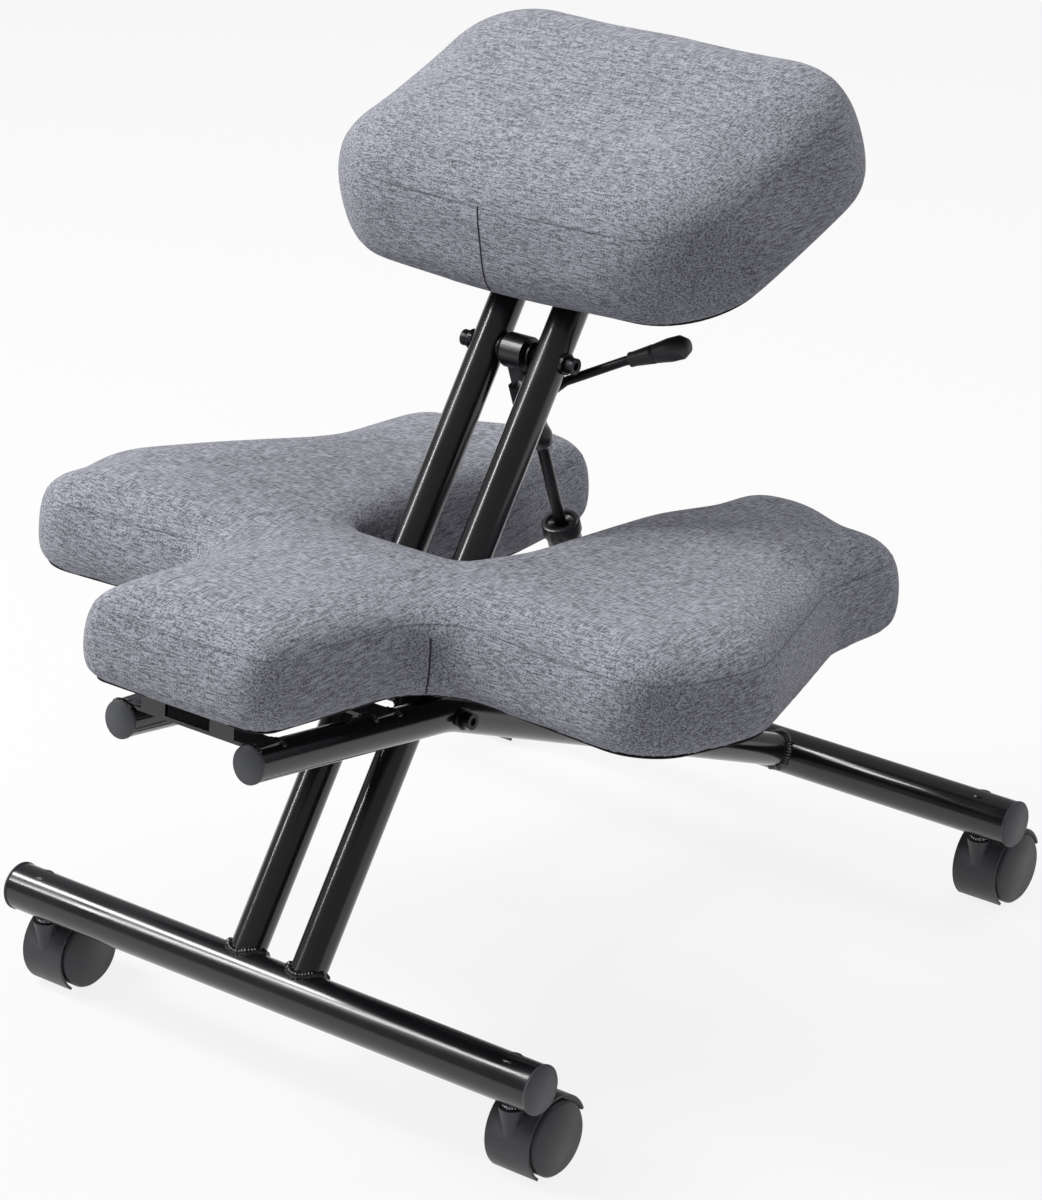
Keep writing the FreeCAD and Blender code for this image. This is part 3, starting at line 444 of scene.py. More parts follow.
seat_way = slope(seat_tube_lean)
rear_leg_way = slope(180 - knee_fall)
tube_lines = {"front_floor_bar": (crosswise_line(front_bar_middle), bar_radius),
              "rear_floor_bar": (crosswise_line(rear_bar_middle), bar_radius),
              "lower_cross_tube": (crosswise_line(cross_middle), cross_radius)}
for hand, side in zip(("left", "right"), both_hands):
    tube_lines["seat_tube_" + hand] = (seat_line(side * seat_tube_x), leg_radius)
    tube_lines["knee_tube_" + hand] = (knee_line(side * knee_tube_x), leg_radius)
print("tubes with a known axis:", len(tube_lines))


# %% Dressed copies of the rigid nodes
joined_within = 1e-6
smooth_below = math.radians(30)
bevel_above = math.radians(40)
pressed_bevel = 0.0004


def from_line(spot, line):
    """The vector from the nearest point of a line of segments to a spot."""
    nearest = None
    for start, end in zip(line, line[1:]):
        foot, share = intersect_point_line(spot, start, end)
        foot = start if share < 0 else end if share > 1 else foot
        if nearest is None or (spot - foot).length < nearest.length:
            nearest = spot - foot
    return nearest


def round_off(mesh, line, radius, skin=0.4, facing=0.9):
    """Gives the outside of a tube the normals of a true round tube.

    A corner is on the outside if it is near the radius and its face looks away from the axis.
    """
    normals = [Vector((0, 0, 0))] * len(mesh.loops)
    corners_done = 0
    for face in mesh.polygons:
        for corner in face.loop_indices:
            spot = mesh.vertices[mesh.loops[corner].vertex_index].co / MM
            outward = from_line(spot, line)
            way = outward.normalized()
            if abs(outward.length - radius) < skin and way.dot(face.normal) > facing:
                normals[corner] = way
                corners_done += 1
    mesh.normals_split_custom_set(normals)
    return corners_done


def merged_copy(node):
    """A copy of a node's mesh with its loose triangles joined."""
    mesh = nodes[node].data.copy()
    work = bmesh.new()
    work.from_mesh(mesh)
    bmesh.ops.remove_doubles(work, verts=work.verts, dist=joined_within)
    work.to_mesh(mesh)
    work.free()
    mesh.materials.clear()
    mesh.set_sharp_from_angle(angle=smooth_below)
    return mesh


def place_piece(name, mesh, material, body):
    """A new piece with a finish, riding on a body."""
    piece = bpy.data.objects.new(name, mesh)
    scene.collection.objects.link(piece)
    if material is not None:
        mesh.materials.clear()
        mesh.materials.append(material)
    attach(piece, body)
    return piece


def dress(node, material, bevel=0.0):
    """Stands a smooth copy in for a rigid node, with a fine bevel where one is asked for."""
    mesh = merged_copy(node)
    for face in mesh.polygons:
        face.use_smooth = True
    piece = place_piece("dressed_" + node, mesh, material, home[node])
    if bevel:
        edge = piece.modifiers.new("edge", "BEVEL")
        edge.width = bevel
        edge.segments = 2
        edge.limit_method = "ANGLE"
        edge.angle_limit = bevel_above
        edge.harden_normals = True
    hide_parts(node)
    return piece


pressed = ["seat_mounting_plate", "pad_front_bracket", "pad_rear_bracket"]
caps = ["front_bar_end_caps", "rear_bar_end_caps", "knee_tube_end_caps"]
blackened = ["upper_cross_shaft", "upper_shaft_screws", "upper_shaft_washers",
             "upper_shaft_spacers", "scissor_pivot_shaft", "pivot_washers", "pivot_screws",
             "pivot_spacers", "release_lever", "clevis_pin", "lever_pivot_pin", "gas_spring_rod"]
zinc = ["seat_screws", "seat_tee_nuts", "pad_screws", "pad_tee_nuts", "release_pin",
        "gas_spring_piston", "front_caster_stems", "rear_caster_stems"]
spring_pieces = ["gas_spring_cylinder", "gas_spring_collar", "gas_spring_eye", "release_head"]
for node, (line, radius) in tube_lines.items():
    tube = dress(node, coat)
    print(node, "corners made round:", round_off(tube.data, line, radius))
for node in pressed:
    dress(node, coat, pressed_bevel)
for node in caps:
    dress(node, cap_plastic)
for node in blackened:
    dress(node, black_steel)
for node in zinc:
    dress(node, bright_steel)
for node in spring_pieces:
    dress(node, spring_black)
dress("lever_grip", grip_plastic)
for row in ("front", "rear"):
    for hand in ("left", "right"):
        corner = row + "_" + hand
        dress(corner + "_caster_hood", caster_plastic)
        dress(corner + "_caster_axle", bright_steel)
        for side in ("inner", "outer"):
            dress(corner + "_wheel_" + side, caster_plastic)
for node in ("seat_board", "knee_pad_board"):
    nodes[node].data.materials.clear()
    nodes[node].data.materials.append(ply)

# %% [markdown]
# ## Upholstery cloth
# Both cushions wear the same heathered linen weave: light and dark yarns twisted together, so
# every few millimetres of thread changes shade. One noise is stretched along the chair for the
# warp, one across it for the weft, and a small round one makes the knots. So the flecks run with
# the threads on the top and along the sides.


# %% Upholstery cloth
def threads(material, turn, along, across, long_way):
    """Flecks that are long in one direction and thin in the other two."""
    stretch = [1.0 / across] * 3
    stretch[long_way] = 1.0 / along
    return grain(material, object_place(material, stretch, turn), 1.0, rough=0.6)


def heathered_weave(name, pitch):
    """Linen-look upholstery cloth for a cushion that is pitched about the X axis."""
    material = finish(name, (140, 141, 150), 0.95, Sheen_Weight=0.12, Sheen_Roughness=0.5,
                      Specular_IOR_Level=0.15)
    turn = (-math.radians(pitch), 0, 0)
    warp = threads(material, turn, 0.014, 0.0011, 1)
    weft = threads(material, turn, 0.008, 0.0011, 0)
    knots = grain(material, object_place(material), 0.0016)
    mixed = mean_of(material, [warp, weft, knots])
    cloud = grain(material, object_place(material), 0.05)
    shade = mean_of(material, [spread(material, warp, 0.4, 0.6),
                               spread(material, weft, 0.4, 0.6),
                               spread(material, mixed, 0.44, 0.56),
                               spread(material, cloud, 0.2, 0.8, 0.4, 0.6)])
    blend_colours(material, shade, (44, 45, 50), (186, 187, 198))
    bump_by(material, mixed, 0.0009)
    return material


seat_pitch = 18.0
pad_pitch = -6.0
seat_cloth = heathered_weave("seat_weave", seat_pitch)
pad_cloth = heathered_weave("pad_weave", pad_pitch)
print("cloths:", seat_cloth.name, pad_cloth.name)

# %% [markdown]
# ## Cushions
# A cushion is foam in a sewn cover, so its edges are round and its top swells. It starts as a
# cage of rings that follow the cushion's outline, is remeshed into even squares, and is blown up
# a little with cloth physics: pressure from inside, no gravity, twenty steps. The underside is
# stapled flat to the board, so it is pinned. A limit on how far a point may move keeps the form,
# and averaging each move with its neighbours' keeps dents out.


# %% Outlines with round corners
def rounded(corners, steps=14):
    """Points round a closed outline whose corners (x, y, radius, in mm) are round."""
    points = []
    count = len(corners)
    for i in range(count):
        x0, y0 = corners[i - 1][:2]
        x1, y1, r1 = corners[i]
        x2, y2 = corners[(i + 1) % count][:2]
        corner = Vector((x1, y1, 0))
        back = (Vector((x0, y0, 0)) - corner).normalized()
        ahead = (Vector((x2, y2, 0)) - corner).normalized()
        half_turn = (math.pi - back.angle(ahead)) / 2
        cut = r1 * math.tan(half_turn)
        inward = (back + ahead).normalized()
        centre = corner + inward * (r1 / math.cos(half_turn))
        start = corner + back * cut - centre
        sweep = back.cross(ahead).z
        turn = -2 * half_turn if sweep > 0 else 2 * half_turn
        for k in range(steps + 1):
            spun = Matrix.Rotation(turn * k / steps, 4, "Z") @ start
            points.append((centre + spun) * MM)
    return points


def drawn_in(corners, inset, smallest=9.0):
    """The outline's corners with every edge moved inwards."""
    count = len(corners)
    moved = []
    for i in range(count):
        x0, y0 = corners[i - 1][:2]
        x1, y1, r1 = corners[i]
        x2, y2 = corners[(i + 1) % count][:2]
        a = Vector((x1 - x0, y1 - y0)).normalized()
        b = Vector((x2 - x1, y2 - y1)).normalized()
        normal_a = Vector((-a.y, a.x))
        normal_b = Vector((-b.y, b.x))
        half = (normal_a + normal_b).normalized()
        reach = inset / half.dot(normal_a)
        left_turn = a.x * b.y - a.y * b.x > 0
        radius = r1 - inset if left_turn else r1 + inset
        moved.append((x1 + half.x * reach, y1 + half.y * reach, max(radius, smallest)))
    return moved


seat_outline = [(-198, -136, 82), (0, -143, 396), (198, -136, 82),
                (198, 136, 82), (0, 143, 396), (-198, 136, 82)]
half_pad = [(97, -254, 30), (107, -76, 40), (316, -92, 58), (342, 30, 90), (266, 222, 60),
            (260, 342, 56), (138, 379, 90), (78, 366, 40), (54, 240, 90), (54, 44, 34)]
pad_outline = half_pad + [(-x, y, r) for x, y, r in reversed(half_pad)]


def pitched(y, z, pitch):
    """A place in the middle plane, in metres, turned about the X axis by an angle in degrees."""
    return Matrix.Translation((0, y, z)) @ Matrix.Rotation(math.radians(pitch), 4, "X")


seat_place = pitched(0.14292, 0.60362, seat_pitch)
pad_place = pitched(-0.12997, 0.326145, pad_pitch)
print("pad outline corners:", len(pad_outline))


# %% A cushion's cage
def cage(outline, profile):
    """A closed mesh from rings of one outline, each at a height and an inset in mm."""
    rings = []
    for height, inset in profile:
        ring = rounded(drawn_in(outline, inset))
        rings.append([Vector((p.x, p.y, height * MM)) for p in ring])
    count = len(rings[0])
    work = bmesh.new()
    rows = [[work.verts.new(p) for p in ring] for ring in rings]
    for low, high in zip(rows, rows[1:]):
        for i in range(count):
            j = (i + 1) % count
            work.faces.new((low[i], low[j], high[j], high[i]))
    for row, flip in ((rows[0], True), (rows[-1], False)):
        for a, b, c in tessellate_polygon([[vertex.co for vertex in row]]):
            upward = (row[b].co - row[a].co).cross(row[c].co - row[a].co).z > 0
            corners = (row[a], row[b], row[c]) if upward != flip else (row[c], row[b], row[a])
            work.faces.new(corners)
    mesh = bpy.data.meshes.new("cage")
    work.to_mesh(mesh)
    work.free()
    return mesh


def evaluated_mesh(piece):
    """The piece's mesh as its modifiers make it."""
    depsgraph = bpy.context.evaluated_depsgraph_get()
    return bpy.data.meshes.new_from_object(piece.evaluated_get(depsgraph))


def with_modifier(piece, kind, **values):
    """Applies one modifier to a piece that has no other."""
    modifier = piece.modifiers.new("shape", kind)
    for label, value in values.items():
        setattr(modifier, label, value)
    bpy.context.view_layer.update()
    mesh = evaluated_mesh(piece)
    piece.modifiers.clear()
    piece.data = mesh


def evened(offsets, edges, rounds):
    """Averages every point's offset with its neighbours', so that no dents stay."""
    first, second = edges[:, 0], edges[:, 1]
    neighbours = numpy.bincount(edges.ravel(), minlength=len(offsets))[:, None]
    for step in range(rounds):
        total = numpy.zeros_like(offsets)
        numpy.add.at(total, first, offsets[second])
        numpy.add.at(total, second, offsets[first])
        offsets = (offsets + total / neighbours) / 2
    return offsets


def swell(piece, pressure, reach, pinned_below, steps=20, rounds=16):
    """Blows a piece up with cloth physics. Its lowest points stay where they are."""
    rest = [v.co.copy() for v in piece.data.vertices]
    pinned = piece.vertex_groups.new(name="pinned")
    pinned.add([i for i, co in enumerate(rest) if co.z < pinned_below], 1.0, "REPLACE")
    cloth = piece.modifiers.new("cloth", "CLOTH")
    cloth.settings.use_pressure = True
    cloth.settings.uniform_pressure_force = pressure
    cloth.settings.vertex_group_mass = "pinned"
    cloth.settings.effector_weights.gravity = 0.0
    cloth.settings.quality = 4
    cloth.collision_settings.use_collision = False
    cloth.point_cache.frame_start = 1
    cloth.point_cache.frame_end = steps
    for step in range(1, steps + 1):
        scene.frame_set(step)
    blown = evaluated_mesh(piece)
    piece.modifiers.clear()
    piece.vertex_groups.clear()
    offsets = numpy.array([after.co - before for before, after in zip(rest, blown.vertices)])
    lengths = numpy.linalg.norm(offsets, axis=1)
    offsets = offsets * numpy.minimum(1.0, reach / numpy.maximum(lengths, 1e-9))[:, None]
    edges = numpy.array([edge.vertices[:] for edge in blown.edges])
    offsets = evened(offsets, edges, rounds)
    for before, vertex, offset in zip(rest, blown.vertices, offsets):
        vertex.co = before + Vector(offset)
    piece.data = blown
    scene.frame_set(1)
    print(piece.name, "swelled by up to", round(numpy.abs(offsets).max() / MM, 1), "mm")


def soften(piece, steps):
    """Evens out a piece's points, which rounds what the squares left rough."""
    work = bmesh.new()
    work.from_mesh(piece.data)
    for step in range(steps):
        bmesh.ops.smooth_vert(work, verts=work.verts, factor=0.5, use_axis_x=True,
                              use_axis_y=True, use_axis_z=True)
    work.to_mesh(piece.data)
    work.free()


# %% [markdown]
# ### The two covers
# The profile gives each cushion's side: the foot is drawn in round the board, the widest line is
# a third of the way up, and the upper edge is a wide round. Remeshing and smoothing shrink a form
# a little and the pressure brings it back, so the cage starts a millimetre large.


# %% Make the cushions
# Each row of the profile is a share of the cushion's height and an inset in mm
side_profile = [(0.0, 10.0), (0.03, 6.0), (0.1, 2.5), (0.22, 0.6), (0.38, 0.0), (0.54, 0.4),
                (0.67, 1.8), (0.78, 5.0), (0.87, 10.5), (0.94, 19.0), (0.985, 32.0), (1.0, 50.0)]
growth = 1.0
square_size = 0.006
pressure = 4.0
swell_limit = 0.006
pinned_below = 0.003
flat_below = 0.0015
underside = 0.0008
slot_size = (0.116, 0.078, 0.8)
slot_middle = (-0.134831, 0.2799)


def cushion(name, outline, height, place, cutter, body, node, material):
    """A swollen cushion in its place on the chair."""
    mesh = cage(outline, [(share * height, inset - growth) for share, inset in side_profile])
    piece = bpy.data.objects.new(name, mesh)
    scene.collection.objects.link(piece)
    if cutter is not None:
        scene.collection.objects.link(cutter)
        with_modifier(piece, "BOOLEAN", operation="DIFFERENCE", object=cutter, solver="EXACT")
        bpy.data.objects.remove(cutter)
    with_modifier(piece, "REMESH", mode="VOXEL", voxel_size=square_size)
    soften(piece, 3)
    swell(piece, pressure, swell_limit, pinned_below)
    soften(piece, 3)
    with_modifier(piece, "SUBSURF", levels=1, render_levels=1)
    for vertex in piece.data.vertices:
        if vertex.co.z < flat_below:
            vertex.co.z = underside
    piece.data.transform(place)
    for face in piece.data.polygons:
        face.use_smooth = True
    piece.data.materials.clear()
    piece.data.materials.append(material)
    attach(piece, body)
    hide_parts(node)
    print(name, "triangles:", sum(len(p.vertices) - 2 for p in piece.data.polygons))
    return piece


def tube_slot():
    """A slanting block that leaves room for the two seat tubes in the notch's front end."""
    mesh = bpy.data.meshes.new("tube_slot")
    work = bmesh.new()
    bmesh.ops.create_cube(work, size=1.0)
    bmesh.ops.scale(work, vec=slot_size, verts=work.verts)
    work.to_mesh(mesh)
    work.free()
    mesh.transform(pad_place.inverted() @ pitched(*slot_middle, seat_tube_lean - 90))
    return bpy.data.objects.new("tube_slot", mesh)


seat = cushion("seat_cover", seat_outline, 96.0, seat_place, None, "seat_frame", "seat_cushion",
               seat_cloth)
pad = cushion("knee_pad_cover", pad_outline, 72.0, pad_place, tube_slot(), "knee_frame",
              "knee_pad", pad_cloth)

# %% [markdown]
# ### Dust covers
# Under each cushion a sheet of grey non-woven cloth is stapled over the board and the turned-in
# edge of the cover, which hides the plywood. It is a thin slab with the cushion's own outline drawn
# in, and its felt is a short tangled noise.


# %% Dust covers
def felt():
    """Grey non-woven cloth: short fibres pressed flat."""
    material = finish("dust_cover_felt", (64, 64, 68), 0.95, Specular_IOR_Level=0.15)
    place = object_place(material)
    fibres = grain(material, place, 0.0012, detail=4.0, rough=0.7)
    blend_colours(material, spread(material, fibres, 0.35, 0.65), (46, 46, 50), (80, 80, 85))
    bump_by(material, fibres, 0.0002)
    return material


def dust_cover(name, outline, place, body, material, low=-0.5, high=0.2, inset=12.0):
    """A thin sheet stapled under a board."""
    mesh = cage(outline, [(low, inset), (high, inset)])
    mesh.transform(place)
    piece = place_piece(name, mesh, material, body)
    print(name, "faces:", len(mesh.polygons))


grey_felt = felt()
dust_cover("seat_dust_cover", seat_outline, seat_place, "seat_frame", grey_felt)
dust_cover("pad_dust_cover", pad_outline, pad_place, "knee_frame", grey_felt)

# %% [markdown]
# ## Seams
# The upright seams that close a cover's band show as a dark line of painted shade, where the
# groove's shadow falls, with a lock stitch every few millimetres, and the seams round the top as a
# fine thread. Geometry Nodes draw both along a path: the path's points are moved to the nearest
# place on the cushion, one branch sweeps a thin round line along it, and the other sets a stitch at
# every step. The thickness, the step and the stitch are the tree's named inputs.


# %% A tree that sews along a path
def tree_with_inputs(name, inputs):
    """An empty geometry tree with a geometry input and the given named inputs."""
    tree = bpy.data.node_groups.new(name, "GeometryNodeTree")
    tree.interface.new_socket("Geometry", in_out="INPUT", socket_type="NodeSocketGeometry")
    for label, kind in inputs:
        tree.interface.new_socket(label, in_out="INPUT", socket_type="NodeSocket" + kind)
    tree.interface.new_socket("Geometry", in_out="OUTPUT", socket_type="NodeSocketGeometry")
    start = tree.nodes.new("NodeGroupInput")
    end = tree.nodes.new("NodeGroupOutput")
    return tree, start, end


def sewing_tree():
    """Lays a path on a cushion and draws a sunk line and its stitches along it."""
    tree, start, end = tree_with_inputs("sewn_seam", [
        ("Cushion", "Object"), ("Line radius", "Float"), ("Stitch step", "Float"),
        ("Stitch length", "Float"), ("Stitch radius", "Float"),
        ("Line material", "Material"), ("Stitch material", "Material")])
    given = start.outputs
    cover = tree_node(tree, "GeometryNodeObjectInfo", [("Object", given["Cushion"])],
                      transform_space="RELATIVE")
    near = tree_node(tree, "GeometryNodeProximity", [(0, cover.outputs["Geometry"])],
                     target_element="FACES")
    laid = tree_node(tree, "GeometryNodeSetPosition",
                     [("Geometry", given["Geometry"]), ("Position", near.outputs["Position"])])
    curve = tree_node(tree, "GeometryNodeMeshToCurve", [(0, laid.outputs[0])])
    ring = tree_node(tree, "GeometryNodeCurvePrimitiveCircle",
                     [("Resolution", 6), ("Radius", given["Line radius"])])
    line = tree_node(tree, "GeometryNodeCurveToMesh",
                     [("Curve", curve.outputs[0]), ("Profile Curve", ring.outputs["Curve"]),
                      ("Fill Caps", True)])
    dark = tree_node(tree, "GeometryNodeSetMaterial",
                     [("Geometry", line.outputs[0]), ("Material", given["Line material"])])
    stepped = tree_node(tree, "GeometryNodeResampleCurve",
                        [("Curve", curve.outputs[0]), ("Length", given["Stitch step"])],
                        mode="LENGTH")
    along = tree_node(tree, "GeometryNodeInputTangent")
    way = tree_node(tree, "FunctionNodeAlignRotationToVector",
                    [("Vector", along.outputs[0])], axis="Z")
    stitch = tree_node(tree, "GeometryNodeMeshIcoSphere",
                       [("Radius", given["Stitch radius"]), ("Subdivisions", 1)])
    long_way = tree_node(tree, "ShaderNodeMath",
                         [(0, given["Stitch length"]), (1, given["Stitch radius"])],
                         operation="DIVIDE")
    half_way = tree_node(tree, "ShaderNodeMath", [(0, long_way.outputs[0]), (1, 0.5)],
                         operation="MULTIPLY")
    stretch = tree_node(tree, "ShaderNodeCombineXYZ",
                        [("X", 1.0), ("Y", 1.0), ("Z", half_way.outputs[0])])
    stitches = tree_node(tree, "GeometryNodeInstanceOnPoints",
                         [("Points", stepped.outputs[0]), ("Instance", stitch.outputs["Mesh"]),
                          ("Rotation", way.outputs[0]), ("Scale", stretch.outputs[0])])
    real = tree_node(tree, "GeometryNodeRealizeInstances", [(0, stitches.outputs[0])])
    pale = tree_node(tree, "GeometryNodeSetMaterial",
                     [("Geometry", real.outputs[0]), ("Material", given["Stitch material"])])
    both = tree_node(tree, "GeometryNodeJoinGeometry")
    tree.links.new(pale.outputs[0], both.inputs[0])
    tree.links.new(dark.outputs[0], both.inputs[0])
    tree.links.new(both.outputs[0], end.inputs[0])
    return tree


def grown(name, path, tree, values):
    """Evaluates a tree on a path and gives the resulting plain mesh."""
    carrier = bpy.data.objects.new(name, path)
    scene.collection.objects.link(carrier)
    modifier = carrier.modifiers.new("grown", "NODES")
    modifier.node_group = tree
    sockets = {item.name: item.identifier for item in tree.interface.items_tree
               if item.in_out == "INPUT"}
    for label, value in values.items():
        modifier[sockets[label]] = value
    bpy.context.view_layer.update()
    mesh = evaluated_mesh(carrier)
    bpy.data.objects.remove(carrier)
    return mesh


def path_mesh(paths, closed):
    """Edges along several rows of points."""
    points, edges = [], []
    for path in paths:
        first = len(points)
        points.extend(path)
        edges.extend((first + i, first + i + 1) for i in range(len(path) - 1))
        if closed:
            edges.append((len(points) - 1, first))
    mesh = bpy.data.meshes.new("path")
    mesh.from_pydata(points, edges, [])
    return mesh


sewing = sewing_tree()
print("sewing tree nodes:", len(sewing.nodes))

# %% [markdown]
# ### Where the seams run
# The seat's band is closed by one seam in the middle of its front, and the knee pad's by an
# upright seam in each waist. The top is sewn to the band all round, at four fifths of the height.
# The points only have to be near the cloth, because the tree lays them on it.


# %% Sew the seams
def thread_finish(name, colour):
    """Twisted sewing thread, also used for the dark painted shade in a seam's groove."""
    material = finish(name, colour, 0.8, Specular_IOR_Level=0.2)
    place = object_place(material)
    twist = grain(material, place, 0.0009)
    darker = tuple(int(value * 0.8) for value in colour)
    blend_colours(material, twist, darker, colour)
    bump_by(material, twist, 0.0001)
    return material


def upright(x, y, foot, head, lean, place, steps=14):
    """Points up the side of a cushion, in its own millimetres."""
    points = []
    for i in range(steps + 1):
        share = i / steps
        spot = Vector((x + lean * share * share, y, foot + (head - foot) * share))
        points.append(place @ (spot * MM))
    return points


def ring_at(outline, height, inset, place):
    """Points round a cushion at one height."""
    return [place @ Vector((p.x, p.y, height * MM)) for p in rounded(drawn_in(outline, inset))]


def seam(name, paths, closed, cover, body, sizes, groove, stitch):
    """One sewn seam on a cushion. Its sizes are in the order of the tree's inputs."""
    line_radius, stitch_step, stitch_length, stitch_radius = sizes
    mesh = grown(name, path_mesh(paths, closed), sewing, {
        "Cushion": cover, "Line radius": line_radius, "Stitch step": stitch_step,
        "Stitch length": stitch_length, "Stitch radius": stitch_radius,
        "Line material": groove, "Stitch material": stitch})
    piece = place_piece(name, mesh, None, body)
    print(name, "faces:", len(mesh.polygons))


# The dark line along the upright seams is painted shade for the groove's shadow, not thread.
seam_groove_shade = thread_finish("seam_shadow", (62, 62, 68))
pale_thread = thread_finish("seam_thread", (150, 151, 160))
dull_thread = thread_finish("seam_thread_dull", (118, 119, 127))
front_sizes = (0.0007, 0.0045, 0.003, 0.0005)
waist_sizes = (0.0008, 0.0045, 0.003, 0.0006)
band_sizes = (0.00028, 0.005, 0.003, 0.00035)
seat_front = [upright(x=-8, y=-146, foot=6, head=88, lean=-5, place=seat_place)]
pad_waists = [upright(x=hand * 110, y=-87, foot=3, head=46, lean=0, place=pad_place)
              for hand in both_hands]
pad_ring = [ring_at(pad_outline, height=58, inset=6, place=pad_place)]
seat_ring = [ring_at(seat_outline, height=80, inset=8, place=seat_place)]
seam("seat_front_seam", seat_front, False, seat, "seat_frame", front_sizes, seam_groove_shade,
     dull_thread)
seam("pad_waist_seams", pad_waists, False, pad, "knee_frame", waist_sizes, seam_groove_shade,
     dull_thread)
seam("pad_band_seam", pad_ring, True, pad, "knee_frame", band_sizes, dull_thread, pale_thread)
seam("seat_band_seam", seat_ring, True, seat, "seat_frame", band_sizes, dull_thread, pale_thread)

# %% [markdown]
# ## Weld beads
# The tubes are joined by bead welds, which look like a row of overlapping coins. A tube that ends
# on a round bar meets it along a saddle: walk round the tube by an angle, and the distance along
# the tube follows from the bar's radius. Geometry Nodes set a flattened lump at every step of that
# path, each turned along the path and given its own size from a fixed seed.


# %% A tree that lays a weld bead
lump_thickness = 0.62


def welding_tree():
    """Lumps along a path, flattened along it and uneven in size."""
    tree, start, end = tree_with_inputs("weld_bead", [
        ("Bead radius", "Float"), ("Step", "Float"), ("Unevenness", "Float"),
        ("Seed", "Int"), ("Material", "Material")])
    given = start.outputs
    curve = tree_node(tree, "GeometryNodeMeshToCurve", [(0, given["Geometry"])])
    stepped = tree_node(tree, "GeometryNodeResampleCurve",
                        [("Curve", curve.outputs[0]), ("Length", given["Step"])], mode="LENGTH")
    along = tree_node(tree, "GeometryNodeInputTangent")
    way = tree_node(tree, "FunctionNodeAlignRotationToVector",
                    [("Vector", along.outputs[0])], axis="Z")
    low = tree_node(tree, "ShaderNodeMath", [(0, 1.0), (1, given["Unevenness"])],
                    operation="SUBTRACT")
    high = tree_node(tree, "ShaderNodeMath", [(0, 1.0), (1, given["Unevenness"])],
                     operation="ADD")
    size = tree_node(tree, "FunctionNodeRandomValue",
                     [(2, low.outputs[0]), (3, high.outputs[0]), ("Seed", given["Seed"])],
                     data_type="FLOAT")
    flat = tree_node(tree, "ShaderNodeMath", [(0, size.outputs[1]), (1, lump_thickness)],
                     operation="MULTIPLY")
    stretch = tree_node(tree, "ShaderNodeCombineXYZ",
                        [("X", size.outputs[1]), ("Y", size.outputs[1]), ("Z", flat.outputs[0])])
    lump = tree_node(tree, "GeometryNodeMeshUVSphere",
                     [("Radius", given["Bead radius"]), ("Segments", 8), ("Rings", 5)])
    lumps = tree_node(tree, "GeometryNodeInstanceOnPoints",
                      [("Points", stepped.outputs[0]), ("Instance", lump.outputs["Mesh"]),
                       ("Rotation", way.outputs[0]), ("Scale", stretch.outputs[0])])
    real = tree_node(tree, "GeometryNodeRealizeInstances", [(0, lumps.outputs[0])])
    coated = tree_node(tree, "GeometryNodeSetMaterial",
                       [("Geometry", real.outputs[0]), ("Material", given["Material"])])
    tree.links.new(coated.outputs[0], end.inputs[0])
    return tree


welding = welding_tree()
print("welding tree nodes:", len(welding.nodes))


# %% The paths of the welds
# In millimetres. A strap edge is where a pad bracket ends along the pad, and how deep the knee
# tube's axis lies below the pad's plane there.
seat_setback = 66.0
plate_thickness = 3.0
strap_edges = [(-226.5, 31.4), (-199.5, 33.1), (-95.5, 39.7), (-68.5, 41.3)]


def turns(count):
    """Angles once round a tube, in even steps."""
    return [2 * math.pi * k / count for k in range(count)]


def saddle(middle, way):
    """The line on which a leg's tube that leaves a floor bar meets it."""
    side = way.cross(crosswise)
    points = []
    for turn in turns(48):
        reach = math.sqrt(bar_radius ** 2 - (leg_radius * math.sin(turn)) ** 2)
        spot = crosswise * math.cos(turn) + side * math.sin(turn)
        points.append((middle + spot * leg_radius + way * reach) * MM)
    return points


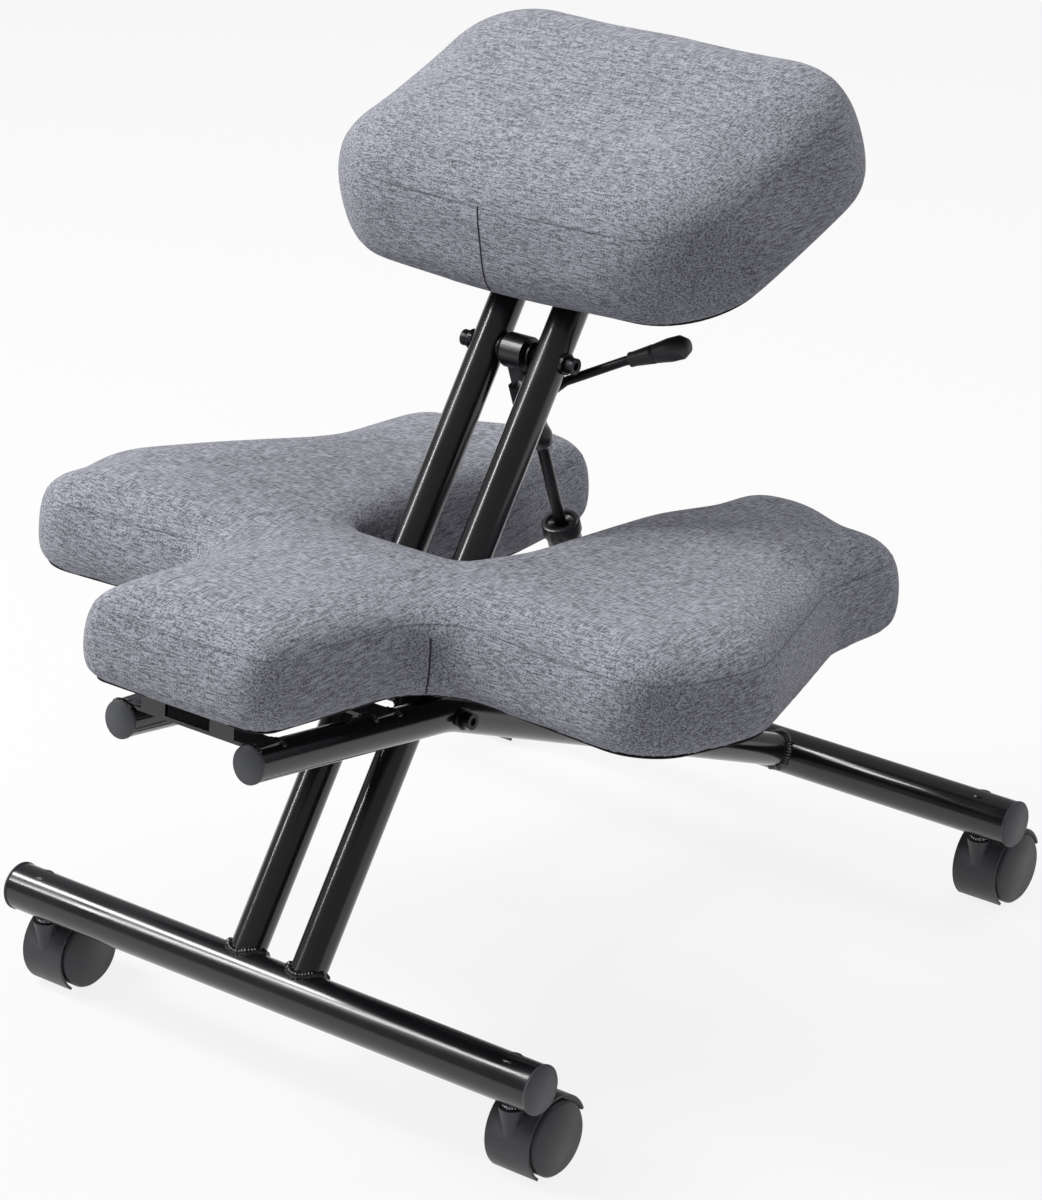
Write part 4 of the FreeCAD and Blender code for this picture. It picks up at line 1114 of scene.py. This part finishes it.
def crosswise_saddle(hand):
    """The line on which the lower cross tube meets a knee tube."""
    middle = beside(cross_middle, hand * knee_tube_x)
    side = crosswise.cross(rear_leg_way)
    points = []
    for turn in turns(40):
        reach = math.sqrt(leg_radius ** 2 - (cross_radius * math.sin(turn)) ** 2)
        spot = (rear_leg_way * math.cos(turn) + side * math.sin(turn)) * cross_radius
        points.append(beside(middle + spot, -hand * reach) * MM)
    return points


def plate_ring(x):
    """The line on which a seat tube meets the underside of the seat plate."""
    lean = math.radians(seat_tube_lean - seat_pitch)
    middle_y = -seat_setback - plate_thickness / math.tan(lean)
    points = []
    for turn in turns(40):
        y = middle_y + leg_radius * math.sin(turn) / math.sin(lean)
        spot = Vector((x + leg_radius * math.cos(turn), y, -plate_thickness))
        points.append(seat_place @ (spot * MM))
    return points


def strap_weld(y, tube_depth, hand, half_arc=34, steps=12):
    """A short arc where an edge of a pad bracket crosses the top of a knee tube."""
    points = []
    for k in range(steps + 1):
        turn = math.radians(-half_arc + 2 * half_arc * k / steps)
        spot = Vector((hand * knee_tube_x + leg_radius * math.sin(turn), y,
                       leg_radius * math.cos(turn) - tube_depth))
        points.append(pad_place @ (spot * MM))
    return points


print("saddle points on a floor bar:", len(saddle(front_bar_middle, seat_way)))


# %% Lay the beads
def weld(name, paths, closed, body, radius, seed, step_share=0.6, unevenness=0.22):
    """A painted weld bead along some paths. Its lumps stand a share of their radius apart."""
    mesh = grown(name, path_mesh(paths, closed), welding, {
        "Bead radius": radius, "Step": radius * step_share, "Unevenness": unevenness,
        "Seed": seed, "Material": coat})
    for face in mesh.polygons:
        face.use_smooth = True
    piece = place_piece(name, mesh, None, body)
    print(name, "faces:", len(mesh.polygons))


weld("front_bar_welds",
     [saddle(beside(front_bar_middle, hand * seat_tube_x), seat_way) for hand in both_hands],
     True, "seat_frame", 0.004, 3)
weld("seat_plate_welds", [plate_ring(hand * seat_tube_x) for hand in both_hands], True,
     "seat_frame", 0.0022, 5)
weld("rear_bar_welds",
     [saddle(beside(rear_bar_middle, hand * knee_tube_x), rear_leg_way) for hand in both_hands],
     True, "knee_frame", 0.004, 7)
weld("cross_tube_welds", [crosswise_saddle(hand) for hand in both_hands], True, "knee_frame",
     0.002, 9)
weld("pad_bracket_welds",
     [strap_weld(y, depth, hand) for y, depth in strap_edges for hand in both_hands],
     False, "knee_frame", 0.002, 11)
